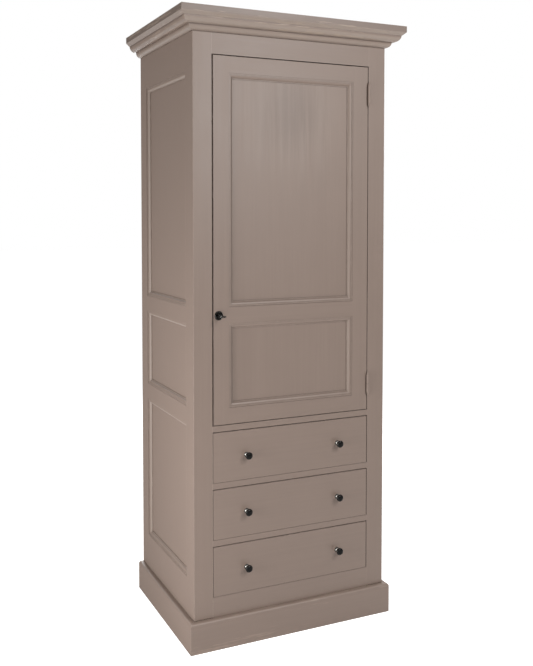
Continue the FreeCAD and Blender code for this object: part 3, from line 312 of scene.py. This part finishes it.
def make_pine_figure():
    """Pine cut from the log: growth rings round a wandering pith, fibres along X, and a few knots.

    Board is a number for each board, so that no two neighbours have the same figure.
    """
    tree, given, made = effect("pine_figure", [("Vector", "Vector", (0, 0, 0)),
                                               ("Board", "Vector", (0, 0, 0))],
                               ["Rings", "Knots", "Fibres", "Shade"])
    lot = add(tree, "TexWhiteNoise", {"noise_dimensions": "3D"}, Vector=given["Board"])
    moved = vectors(tree, "MULTIPLY_ADD", lot.outputs["Color"], (3.0, 0.13, 0.05), given["Vector"])
    spot = axes_of(tree, moved)
    wander = noise(tree, stretched(tree, moved, (1.3, 0.4, 0.4)), 1)
    ripple = noise(tree, stretched(tree, moved, (5, 14, 14)), 2)
    aside = reckon(tree, "ADD", reckon(tree, "SUBTRACT", spot["Y"], 0.11),
                   reckon(tree, "MULTIPLY", wander, 0.09))
    above = reckon(tree, "ADD", spot["Z"], 0.03)
    radius = reckon(tree, "SQRT", reckon(tree, "ADD", reckon(tree, "MULTIPLY", aside, aside),
                                         reckon(tree, "MULTIPLY", above, above)))
    cells = add(tree, "TexVoronoi", {"feature": "F1"}, Vector=stretched(tree, moved, (3.6, 8.5, 3.0)),
                Scale=1, Randomness=0.9)
    few = eased(tree, add(tree, "SeparateColor", fed=(cells.outputs["Color"],)).outputs[0], 0.62, 0.66)
    pushed = reckon(tree, "MULTIPLY", eased(tree, cells.outputs["Distance"], 0.34, 0.05, 0, 0.011), few)
    ringed = reckon(tree, "ADD", reckon(tree, "ADD", radius, pushed),
                    reckon(tree, "MULTIPLY", ripple, 0.007))
    turn = reckon(tree, "FRACT", reckon(tree, "DIVIDE", ringed, YEAR_RING))
    late = reckon(tree, "MULTIPLY", eased(tree, turn, 0.15, 0.88), eased(tree, turn, 0.99, 0.9))
    fibres = noise(tree, stretched(tree, moved, (11, 900, 900)), 2, 0.7)
    knots = eased(tree, cells.outputs["Distance"], 0.11, 0.075)
    clouds = reckon(tree, "MULTIPLY", noise(tree, stretched(tree, moved, (2, 9, 9)), 2), 0.5)
    tree.links.new(late, made["Rings"])
    tree.links.new(reckon(tree, "MULTIPLY", knots, few), made["Knots"])
    tree.links.new(fibres, made["Fibres"])
    tree.links.new(reckon(tree, "MULTIPLY_ADD", lot.outputs["Value"], 0.5, clouds), made["Shade"])
    return tree


pine_figure = make_pine_figure()
WHOLE = 9
START = -WHOLE / 2


def bare_pine(name, laid, first=(START, START, START), pitch=(WHOLE, WHOLE, WHOLE), sides=None, joints=0.0):
    """Planed pine. Laid names the axes along the grain, across the board and through it.

    First and pitch say where one board ends and the next begins along each axis, START and WHOLE that
    the board has no end there. Sides is how far from the middle a drawer's sides begin, whose grain
    runs front to back. Joints is how dark the lines between the boards are.
    """
    material, tree = new_finish(name)
    place = add(tree, "TexCoord").outputs["Object"]
    counted = vectors(tree, "DIVIDE", vectors(tree, "SUBTRACT", place, first), pitch)
    board = vectors(tree, "FLOOR", counted)
    within = vectors(tree, "SUBTRACT", vectors(tree, "FRACTION", counted), (0.5, 0.5, 0.5))
    from_middle = stretched(tree, within, pitch)
    axes = dict(zip("xyz", axes_of(tree, from_middle)))
    along = add(tree, "CombineXYZ", fed=[axes[letter] for letter in laid]).outputs[0]
    if sides is not None:
        aside = reckon(tree, "ABSOLUTE", axes_of(tree, place)["X"])
        deep = add(tree, "CombineXYZ", fed=[axes[letter] for letter in "yzx"]).outputs[0]
        in_sides = reckon(tree, "GREATER_THAN", aside, sides)
        along = add(tree, "Mix", {"data_type": "VECTOR"}, {0: in_sides, 4: along, 5: deep}).outputs[1]
    figure = add(tree, "Group", {"node_tree": pine_figure}, Vector=along, Board=board)
    wear_and_shade = add(tree, "Group", {"node_tree": wear_and_shade_marks}, Vector=along, Across=(1, 1, 1))
    colour = tinted(tree, reckon(tree, "MULTIPLY", figure.outputs["Rings"], 0.75), PINE_PALE, PINE_WARM)
    colour = tinted(tree, eased(tree, figure.outputs["Shade"], 0.2, 0.9, 0, 0.6), colour, PINE_WARM)
    colour = tinted(tree, eased(tree, figure.outputs["Fibres"], 0.5, 0.75, 0, 0.3), colour, PINE_WARM)
    colour = tinted(tree, figure.outputs["Knots"], colour, PINE_KNOT)
    colour = tinted(tree, reckon(tree, "MULTIPLY", wear_and_shade.outputs["Rub"], 0.35), colour, PINE_GREY)
    # Crevices darken with painted shade and dirt.
    colour = tinted(tree, reckon(tree, "MULTIPLY", wear_and_shade.outputs["Shade_and_dirt"], 0.55), colour, SHADE_AND_DIRT)
    if joints:
        out = reckon(tree, "ABSOLUTE", axes["x"])
        edge = pitch[0] / 2
        line = eased(tree, out, edge - 0.0022, edge - 0.0006, 0, joints)
        colour = tinted(tree, line, colour, SHADE_AND_DIRT)
    height = reckon(tree, "ADD", reckon(tree, "MULTIPLY", figure.outputs["Rings"], 0.6),
                    figure.outputs["Fibres"])
    bump = add(tree, "Bump", Height=height, Strength=0.3, Distance=0.0003).outputs[0]
    wood = add(tree, "BsdfPrincipled", Base_Color=colour, Normal=bump, Specular_IOR_Level=0.3,
               Roughness=eased(tree, figure.outputs["Fibres"], 0.3, 0.7, 0.55, 0.72))
    add(tree, "OutputMaterial", Surface=wood.outputs[0])
    return material


BACK_BOARDS = 6
back_low, back_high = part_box("back_boards")
back_pitch = (back_high.x - back_low.x) / BACK_BOARDS
dress(bare_pine("pine_back_boards", "zxy", (back_low.x, START, START), (back_pitch, WHOLE, WHOLE),
                joints=0.85), "back_boards")
dress(bare_pine("pine_back_rails", "xzy", (START, START, 0), (WHOLE, WHOLE, 1)), "back_rails")
for board, front, width in (("top_board", -0.2414, 0.1786), ("bottom_board", -0.2194, 0.1686)):
    dress(bare_pine(f"pine_{board}", "xyz", (START, front, START), (WHOLE, width, WHOLE)), board)
SHELF_STEP = 0.31475
DRAWER_STEP = 0.1818
dress(bare_pine("pine_cleats", "yzx", (-1, START, 0.5), (1, WHOLE, SHELF_STEP)), "shelf_cleats")
dress(bare_pine("pine_runners", "yzx", (-1, START, 0.05), (1, WHOLE, DRAWER_STEP)),
      "drawer_runners", "drawer_guides")
dress(bare_pine("pine_door_stop", "xzy"), "door_stop")
dress(painted_wood("paint_shelves", "level", (0, 1, 1), 14.2), "shelves", "deck_board")

# ---- Screws and pins in the back and the cleats -----------------------------------------------
# Each back board is pinned to both back rails with two wire nails to a rail, driven almost level.
# Each cleat under a shelf has three countersunk steel screws along it.


def make_handling():
    """What use leaves on metal: smudges from fingers, and hair scratches with no direction."""
    tree, given, made = effect("handling", [("Vector", "Vector", (0, 0, 0))], ["Smudge", "Scratches"])
    smudge = noise(tree, stretched(tree, given["Vector"], (140, 140, 140)), 4, 0.6)
    warped = add(tree, "TexNoise", Vector=given["Vector"], Scale=60, Detail=1).outputs["Color"]
    crossed = vectors(tree, "MULTIPLY_ADD", warped, (0.012, 0.012, 0.012), given["Vector"])
    hairs = noise(tree, stretched(tree, crossed, (2600, 260, 900)), 2, 0.7)
    tree.links.new(eased(tree, smudge, 0.3, 0.7), made["Smudge"])
    tree.links.new(eased(tree, hairs, 0.52, 0.7), made["Scratches"])
    return tree


handling = make_handling()


def bare_metal(name, dull, bright, roughness, rub=0.5, reach=0.0006, scratch=0.18, smeared=0.3, highlit_neck=None):
    """A metal finish with smudges, hair scratches and brighter arrises.

    Dull and bright are its colours, roughness the least and the most. Rub, scratch and smeared are how far
    each shows, reach is how wide an arris is, and the neck is the stretch along Y that gets a bright band, a
    painted highlight.
    """
    material, tree = new_finish(name)
    place = add(tree, "TexCoord").outputs["Object"]
    use = add(tree, "Group", {"node_tree": handling}, Vector=place)
    wear_and_shade = add(tree, "Group", {"node_tree": wear_and_shade_marks}, Vector=place, Across=(1, 1, 1), Reach=reach)
    bright_share = reckon(tree, "MAXIMUM", reckon(tree, "MULTIPLY", wear_and_shade.outputs["Rub"], rub),
                          reckon(tree, "MULTIPLY", use.outputs["Smudge"], smeared))
    # The bright band round the neck is a painted highlight.
    if highlit_neck is not None:
        depth = axes_of(tree, place)["Y"]
        ring = reckon(tree, "MULTIPLY", eased(tree, depth, highlit_neck[0], highlit_neck[0] + 0.002),
                      eased(tree, depth, highlit_neck[1], highlit_neck[1] + 0.001, 1, 0))
        bright_share = reckon(tree, "MAXIMUM", bright_share, ring)
    scratched = reckon(tree, "MULTIPLY", use.outputs["Scratches"], scratch)
    spread = eased(tree, use.outputs["Smudge"], 0, 1, roughness[0], roughness[1])
    bump = add(tree, "Bump", Height=use.outputs["Scratches"], Strength=0.12, Distance=0.00005).outputs[0]
    metal = add(tree, "BsdfPrincipled", Base_Color=tinted(tree, bright_share, dull, bright), Metallic=1,
                Roughness=reckon(tree, "ADD", spread, scratched), Normal=bump)
    add(tree, "OutputMaterial", Surface=metal.outputs[0])
    return material


steel = bare_metal("plain_steel", (0.34, 0.33, 0.31, 1), (0.56, 0.55, 0.53, 1), (0.28, 0.5))


def facing(place, outward):
    """The move that takes a head made at the origin, looking up Z, to its place."""
    return Matrix.Translation(place) @ Vector(outward).to_track_quat("Z", "Y").to_matrix().to_4x4()


def one_piece(name, form, body, material):
    """Make a finished mesh into a piece that rides on a body."""
    mesh = bpy.data.meshes.new(name)
    form.to_mesh(mesh)
    form.free()
    mesh.materials.append(material)
    made = bpy.data.objects.new(name, mesh)
    bpy.context.scene.collection.objects.link(made)
    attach(made, body)
    return made


def slotted_screws(name, radius, places, body, material):
    """Countersunk heads with one slot each. A place is a point, the way out, and the slot's turn."""
    form = bmesh.new()
    for place, outward, turn in places:
        head = bmesh.new()
        bmesh.ops.create_circle(head, cap_ends=True, segments=24, radius=radius)
        raised = bmesh.ops.extrude_face_region(head, geom=head.faces[:])
        top = [part for part in raised["geom"] if isinstance(part, bmesh.types.BMVert)]
        bmesh.ops.translate(head, verts=top, vec=(0, 0, radius * 0.16))
        bottom = [vert for vert in head.verts if vert not in top]
        bmesh.ops.scale(head, verts=bottom, vec=(0.82, 0.82, 1))
        rim = [edge for edge in head.edges if all(vert in top for vert in edge.verts)]
        bmesh.ops.bevel(head, geom=rim, offset=radius * 0.09, segments=2, affect="EDGES", profile=0.5,
                        material=-1)
        cap = max(head.faces, key=lambda face: (face.calc_center_median().z, face.calc_area()))
        half_slot = radius * 0.15
        for edge_x in (-half_slot, half_slot):
            top_height = cap.calc_center_median().z - 1e-7
            cap_parts = [face for face in head.faces if face.calc_center_median().z > top_height]
            around = list({part for face in cap_parts for part in (*face.verts, *face.edges, face)})
            bmesh.ops.bisect_plane(head, geom=around, plane_co=(edge_x, 0, 0), plane_no=(1, 0, 0),
                                   dist=1e-7)
        strip = [face for face in head.faces if abs(face.calc_center_median().x) < half_slot / 2
                 and face.calc_center_median().z > radius * 0.15
                 and face.calc_area() > radius * radius * 0.3]
        sunk = bmesh.ops.extrude_discrete_faces(head, faces=strip)["faces"]
        bmesh.ops.translate(head, verts=list({vert for face in sunk for vert in face.verts}),
                            vec=(0, 0, -radius * 0.13))
        bmesh.ops.transform(head, verts=head.verts[:],
                            matrix=facing(place, outward) @ Matrix.Rotation(turn, 4, "Z"))
        join_to(form, head)
    return one_piece(name, form, body, material)


def join_to(form, extra):
    """Add one form to another."""
    carrier = bpy.data.meshes.new("carrier")
    extra.to_mesh(carrier)
    extra.free()
    form.from_mesh(carrier)
    bpy.data.meshes.remove(carrier)


def domed_heads(name, radius, rise, places, body, material):
    """Round heads, slightly domed."""
    form = bmesh.new()
    for place, outward in places:
        head = bmesh.new()
        bmesh.ops.create_circle(head, cap_ends=False, segments=20, radius=radius)
        rim = head.edges[:]
        for height, share in ((0.55, 0.86), (0.9, 0.5)):
            ring = bmesh.ops.extrude_edge_only(head, edges=rim)
            verts = [part for part in ring["geom"] if isinstance(part, bmesh.types.BMVert)]
            rim = [part for part in ring["geom"] if isinstance(part, bmesh.types.BMEdge)]
            for vert in verts:
                flat = vert.co.xy.normalized() * radius * share
                vert.co = (flat.x, flat.y, rise * height)
        bmesh.ops.contextual_create(head, geom=rim)
        bmesh.ops.recalc_face_normals(head, faces=head.faces[:])
        bmesh.ops.transform(head, verts=head.verts[:], matrix=facing(place, outward))
        join_to(form, head)
    return one_piece(name, form, body, material)


NAIL_RADIUS = 0.0019
NAIL_RISE = 0.0003
NAIL_ASIDE = 0.032
NAIL_ABOVE_EDGE = 0.028
NAIL_BELOW_EDGE = 0.026
nail_places = []
rails_low, rails_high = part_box("back_rails")
for number in range(BACK_BOARDS):
    middle = back_low.x + back_pitch * (number + 0.5)
    for aside in (-NAIL_ASIDE, NAIL_ASIDE):
        for height in (rails_low.z + NAIL_ABOVE_EDGE, rails_high.z - NAIL_BELOW_EDGE):
            nail_places.append(((middle + aside, back_high.y, height), (0, 1, 0)))
domed_heads("back_board_nails", NAIL_RADIUS, NAIL_RISE, nail_places, "carcass", steel)

CLEAT_FACE = 0.30825
CLEAT_SCREW_RADIUS = 0.0038
CLEAT_SCREW_DROP = 0.0125
CLEAT_SCREW_DEPTHS = (-0.13, 0.03, 0.19)
shelf_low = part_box("shelves")[0]
cleat_places = []
for level in range(3):
    height = shelf_low.z - CLEAT_SCREW_DROP + SHELF_STEP * level
    for depth in CLEAT_SCREW_DEPTHS:
        for sign in (-1, 1):
            cleat_places.append(((CLEAT_FACE * sign, depth, height), (-sign, 0, 0),
                                 0.5 + depth * 9 + level))
slotted_screws("cleat_screws", CLEAT_SCREW_RADIUS, cleat_places, "carcass", steel)

# ---- Plinth, bed moulding and cornice ---------------------------------------------------------
# A plinth board rounded at the top, an ovolo bed moulding and the crown above it run round front and
# sides. All are mitred at the front corners and glued. The crown was painted with a dry brush.

dress(painted_wood("paint_plinth_front", "level", (0, 1, 1), 16.1, rub=0.6, dashes=0.4,
                   crevice_shade=(0.004, 0.3)), "plinth_front")
dress(painted_wood("paint_plinth_sides", "deep", (1, 0, 1), 17.4, rub=0.6, crevice_shade=(0.004, 0.3)),
      "plinth_left", "plinth_right")
# The crown's and bed's faces that look down are painted paler, as painted light, and the crown's upright
# faces get painted shade, most on its ends.
dress(painted_wood("paint_crown_front", "level", (0, 1, 1), 18.3, rub=0.8, dashes=0.8, under=0.5,
                   fascia=0.15, crevice_shade=(0.006, 0.5)), "cornice_front")
dress(painted_wood("paint_crown_sides", "deep", (1, 0, 1), 19.9, rub=0.8, dashes=0.45, fascia=0.37,
                   crevice_shade=(0.006, 0.5)), "cornice_left", "cornice_right")
dress(painted_wood("paint_bed", "level", (0, 1, 1), 21.6, rub=0.6, dashes=0.3, under=0.35,
                   crevice_shade=(0.006, 0.5)), "bed_mouldings")

# ---- Door -------------------------------------------------------------------------------------
# Stiles and three rails tenoned together, with an upper and a lower panel loose in their grooves.
# The upper panel has a painted shade patch in its upper middle, with paler painted streaks round it.

EVERYWHERE = ((0, 1), (0, 2))
OUTER_EDGE = (0.26, 1)
# The door's arrises along its gaps get painted shade.
dress(painted_wood("paint_door_lock_stile", "upright", (1, 0, 0), 23.4, rub=0, reach=0.0025,
                   gap_shade=(0.95, OUTER_EDGE, door_opening), crevice_shade=(0.004, 0.5)),
      "door_lock_stile")
dress(painted_wood("paint_door_hinge_stile", "upright", (1, 0, 0), 24.8, rub=0, reach=0.0012,
                   gap_shade=(0.55, OUTER_EDGE, door_opening), crevice_shade=(0.004, 0.5)),
      "door_hinge_stile")
dress(painted_wood("paint_door_rails", "level", (0, 0, 1), 26.5, rub=0, reach=0.0014,
                   gap_shade=(0.9, *EVERYWHERE), crevice_shade=(0.004, 0.5)),
      "door_top_rail", "door_middle_rail", "door_bottom_rail")
panel_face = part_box("door_upper_panel")[0].y
shade_patch = ((-0.01, panel_face, 1.70), (6, 300, 5.5))
dress(painted_wood("paint_door_upper_panel", "upright", (0, 0, 0), 28.7, cloud=shade_patch,
                   crevice_shade=(0.006, 0.5)), "door_upper_panel")
dress(painted_wood("paint_door_lower_panel", "upright", (0, 0, 0), 29.3, crevice_shade=(0.006, 0.5)),
      "door_lower_panel")
# The mouldings' faces that lean right get painted shade, and those that lean left painted light.
dress(painted_wood("paint_door_mouldings", "upright", (1, 1, 1), 31.8, rub=0.7, lee=0.42,
                   crevice_shade=(0.012, 0.5)), "door_mouldings")

# ---- Hinges -----------------------------------------------------------------------------------
# Two lift-off butt hinges let into door and stile, their barrels proud of the face and painted over.
# Each leaf has two slotted screws. They and the washer between the halves are painted in with it.

DARK_STEEL = (0.10, 0.085, 0.075, 1)


def painted_metal(name):
    """The cabinet's paint over steel, chipped to dark metal on its arrises, and darkened in its crevices by
    painted shade and dirt.
    """
    material, tree = new_finish(name)
    place = add(tree, "TexCoord").outputs["Object"]
    along = add(tree, "Mapping", Vector=place, Rotation=GRAIN_TURNS["upright"]).outputs[0]
    marks = add(tree, "Group", {"node_tree": brush_marks}, Vector=along)
    wear_and_shade = add(tree, "Group", {"node_tree": wear_and_shade_marks}, Vector=place, Across=(1, 1, 1), Reach=0.0005)
    chipped = eased(tree, wear_and_shade.outputs["Rub"], 0.7, 0.9)
    painted = tinted(tree, marks.outputs["Tone"], PAINT_DEEP, PAINT_PALE)
    height = reckon(tree, "SUBTRACT", marks.outputs["Height"], chipped)
    bump = add(tree, "Bump", Height=height, Strength=0.4, Distance=0.0003).outputs[0]
    chipped_paint = tinted(tree, chipped, painted, DARK_STEEL)
    skin = add(tree, "BsdfPrincipled", Base_Color=tinted(tree, wear_and_shade.outputs["Shade_and_dirt"], chipped_paint, SHADE_AND_DIRT),
               Metallic=reckon(tree, "MULTIPLY", chipped, 0.8), Normal=bump,
               Roughness=eased(tree, marks.outputs["Tone"], 0, 1, 0.34, 0.46))
    add(tree, "OutputMaterial", Surface=skin.outputs[0])
    return material


hinge_paint = painted_metal("paint_on_hinges")
dress(hinge_paint, "hinge_frame_leaves", "hinge_door_leaves", "hinge_washers")

HINGE_FACE = 0.28095
HINGE_MIDDLES = (1.772, 0.797)
FRAME_LEAF_TOP = -0.0005
DOOR_LEAF_FOOT = 0.0008
LEAF_SCREWS = ((0.009, -0.2335), (0.027, -0.2285))
LEAF_SCREW_RADIUS = 0.0032
frame_leaf_places = []
door_leaf_places = []
for middle in HINGE_MIDDLES:
    for lift, depth in LEAF_SCREWS:
        frame_leaf_places.append(((HINGE_FACE, depth, middle + FRAME_LEAF_TOP - lift), (-1, 0, 0),
                                  lift * 90))
        door_leaf_places.append(((HINGE_FACE, depth, middle + DOOR_LEAF_FOOT + lift), (1, 0, 0),
                                 lift * 60))
slotted_screws("hinge_frame_screws", LEAF_SCREW_RADIUS, frame_leaf_places, "carcass",
               hinge_paint)
slotted_screws("hinge_door_screws", LEAF_SCREW_RADIUS, door_leaf_places, "door",
               hinge_paint)

# ---- Lock, bolt and strike --------------------------------------------------------------------
# A small mortise lock in the edge of the lock stile, its bolt thrown by the key into a steel strike
# that is let into the opening's edge. Both plates have two countersunk screws.

dress(steel, "lock_case", "lock_bolt", "strike_plate")
LOCK_DEPTH = -0.2306
LOCK_SCREW_RADIUS = 0.0029
for name, face, outward, middle, reach, turn, body in (
        ("lock_screws", -0.27925, -1, 1.0555, 0.0365, 0.7, "door"),
        ("strike_screws", -0.28175, 1, 1.0445, 0.0165, 1.1, "carcass")):
    slotted_screws(name, LOCK_SCREW_RADIUS,
                   [((face, LOCK_DEPTH, middle + side * reach), (outward, 0, 0), turn * side)
                    for side in (-1, 1)], body, steel)

# ---- Rose and key -----------------------------------------------------------------------------
# A turned rose that sits on the stile round the keyhole, and a short key with a ring bow.
# Both are steel plated in black nickel, and handling has dulled them a little.

# The bright arrises of rose and key are partly wear and partly a painted highlight.
rose_nickel = bare_metal("rose_nickel", (0.007, 0.0068, 0.0065, 1), (0.60, 0.58, 0.55, 1), (0.07, 0.14),
                         rub=0.9, reach=0.0005, scratch=0.05, smeared=0.01)
dress(rose_nickel, "escutcheon", "key")

# ---- Drawers ----------------------------------------------------------------------------------
# Painted fronts on bare pine boxes: sides half-blind dovetailed to the front and through dovetailed
# to the back, the bottom slid into grooves. They lie inset, flush with the frame.

for number in (1, 2, 3):
    # The fronts' arrises along their gaps get painted shade, weaker on their lower arrises.
    dress(painted_wood(f"paint_drawer_{number}_front", "level", (0.15, 0, 1), 33.1 + 2 * number, rub=0,
                       reach=0.0018, gap_shade=(0.9, *EVERYWHERE), crevice_shade=(0.004, 0.5)),
          f"drawer_{number}_front")
    dress(bare_pine(f"pine_drawer_{number}_box", "xzy", (-1, START, -4.3 - 0.1 * number),
                    (1, WHOLE, WHOLE), sides=0.2682), f"drawer_{number}_box")
    dress(bare_pine(f"pine_drawer_{number}_bottom", "xyz", (-4.4 - 0.1 * number, -0.06, START),
                    (WHOLE, 0.155, WHOLE)), f"drawer_{number}_bottom")

# ---- Knobs ------------------------------------------------------------------------------------
# Small turned mushroom knobs in black nickel, two to a drawer, their feet on the paint.
# Each is held by a round-headed screw from inside the drawer.

# The bright band round each knob's neck is a painted highlight.
knob_nickel = bare_metal("knob_nickel", (0.009, 0.0088, 0.0086, 1), (0.54, 0.53, 0.50, 1), (0.07, 0.16),
                         rub=0.1, reach=0.0003, scratch=0.04, smeared=0.01, highlit_neck=(-0.2543, -0.2445))
KNOB_ASIDE = 0.166
KNOB_SCREW_RADIUS = 0.0042
KNOB_SCREW_RISE = 0.0022
FRONT_INSIDE = -0.22135
KNOB_PROFILE = ((0.0076, 0), (0.0080, 0.0007), (0.0076, 0.0016), (0.0056, 0.0026), (0.0047, 0.0045),
                (0.0044, 0.0075), (0.0049, 0.0105), (0.0066, 0.0133), (0.0092, 0.0156), (0.0111, 0.0176),
                (0.0119, 0.0197), (0.0118, 0.0213), (0.0110, 0.0230), (0.0094, 0.0244), (0.0070, 0.0254),
                (0.0040, 0.0259), (0.0014, 0.026))


def turned(name, profile, places, body, material):
    """Pieces turned on the lathe: the profile is radius and height, from the foot up to the face."""
    form = bmesh.new()
    for place, outward in places:
        spun = bmesh.new()
        points = [spun.verts.new((radius, 0, height)) for radius, height in profile]
        edges = [spun.edges.new(pair) for pair in zip(points, points[1:])]
        bmesh.ops.spin(spun, geom=points + edges, cent=(0, 0, 0), axis=(0, 0, 1), angle=2 * math.pi,
                       steps=40, use_duplicate=False)
        bmesh.ops.remove_doubles(spun, verts=spun.verts[:], dist=1e-6)
        bmesh.ops.holes_fill(spun, edges=spun.edges[:], sides=0)
        bmesh.ops.recalc_face_normals(spun, faces=spun.faces[:])
        bmesh.ops.transform(spun, verts=spun.verts[:], matrix=facing(place, outward))
        join_to(form, spun)
    for face in form.faces:
        face.smooth = len(face.verts) == 4
    return one_piece(name, form, body, material)


for number in (1, 2, 3):
    knobs = f"drawer_{number}_knobs"
    low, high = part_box(knobs)
    middle = (low.z + high.z) / 2
    heads = turned(f"drawer_{number}_turned_knobs", KNOB_PROFILE,
                   [((x, high.y, middle), (0, -1, 0)) for x in (-KNOB_ASIDE, KNOB_ASIDE)],
                   f"drawer_{number}", knob_nickel)
    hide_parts(knobs)
    domed_heads(f"drawer_{number}_knob_screws", KNOB_SCREW_RADIUS, KNOB_SCREW_RISE,
                [((x, FRONT_INSIDE, middle), (0, 1, 0)) for x in (-KNOB_ASIDE, KNOB_ASIDE)],
                f"drawer_{number}", steel)

# ---- Floor, light and camera ------------------------------------------------------------------
# A white studio floor under an even white sky, with a lamp high on the right, a wide one in front of
# the upper half, three on the left, where the camera stands, and one each at the right and back.


def white_where_seen(tree):
    """One where a ray comes from the camera, or from metal or glass, so that it sees plain white."""
    path = add(tree, "LightPath").outputs
    return reckon(tree, "MAXIMUM", path["Is Camera Ray"],
                  reckon(tree, "MAXIMUM", path["Is Glossy Ray"], path["Is Transmission Ray"]))


SKY = 0.16
FLOOR_GLOW = 0.88
world = bpy.data.worlds.new("studio_sky")
bpy.context.scene.world = world
world.use_nodes = True
sky = world.node_tree
sky.nodes.clear()
sky_light = add(sky, "Background", Color=(1, 1, 1, 1),
                Strength=reckon(sky, "MAXIMUM", white_where_seen(sky), SKY))
add(sky, "OutputWorld", Surface=sky_light.outputs[0])

floor_form = bmesh.new()
bmesh.ops.create_grid(floor_form, x_segments=1, y_segments=1, size=30)
floor_mesh = bpy.data.meshes.new("studio_floor")
floor_form.to_mesh(floor_mesh)
floor_form.free()
floor = bpy.data.objects.new("studio_floor", floor_mesh)
bpy.context.scene.collection.objects.link(floor)
floor_finish, ground = new_finish("white_floor")
glow = reckon(ground, "MULTIPLY", white_where_seen(ground), FLOOR_GLOW)
white = add(ground, "BsdfPrincipled", Base_Color=(0.8, 0.8, 0.8, 1), Roughness=0.9,
            Specular_IOR_Level=0.0, Emission_Color=(1, 1, 1, 1), Emission_Strength=glow)
add(ground, "OutputMaterial", Surface=white.outputs[0])
floor_mesh.materials.append(floor_finish)


def lamp(name, place, target, size, power):
    """A flat lamp that looks at its target and isn't seen itself."""
    light = bpy.data.lights.new(name, "AREA")
    light.shape = "RECTANGLE"
    light.size, light.size_y = size
    light.energy = power
    hung = bpy.data.objects.new(name, light)
    hung.location = place
    hung.rotation_euler = (Vector(target) - Vector(place)).to_track_quat("-Z", "Y").to_euler()
    hung.visible_camera = False
    bpy.context.scene.collection.objects.link(hung)


lamp("high_right_lamp", (1.2, -2.9, 3.1), (0, -0.24, 0.1), (0.3, 0.3), 35)
lamp("wide_front_lamp", (0.55, -2.95, 1.95), (0, -0.24, 1.5), (1.7, 0.8), 28.5)
lamp("near_left_lamp", (-2.2, -1.0, 0.8), (-0.345, 0, 0.9), (0.7, 0.7), 8.6)
lamp("far_left_lamp", (-2.4, -0.3, 1.55), (-0.345, 0, 1.5), (0.7, 0.7), 11.5)
lamp("low_left_lamp", (-1.2, -0.52, 0.55), (-0.345, -0.2, 0.62), (0.4, 0.8), 5.9)
lamp("right_side_lamp", (2.9, 0.7, 1.9), (0.345, 0, 0.9), (1.2, 1.2), 34)
lamp("back_lamp", (0.5, 3.2, 2.0), (0.1, 0.29, 1.0), (1.4, 1.4), 42)

STAND = (-1.27128, -2.74973, 1.37425)
YAW = 0.43821
PITCH = -0.04164
RISE = -0.125
FOCAL_PIXELS = 867.975
LONG_SIDE = 666
lens = bpy.data.cameras.new("camera")
lens.sensor_width = 36
lens.lens = FOCAL_PIXELS * lens.sensor_width / LONG_SIDE
lens.shift_y = RISE
camera = bpy.data.objects.new("camera", lens)
camera.location = STAND
camera.rotation_euler = (math.pi / 2 + PITCH, 0, -YAW)
bpy.context.scene.collection.objects.link(camera)
bpy.context.scene.camera = camera
bpy.context.scene.view_settings.view_transform = "Standard"
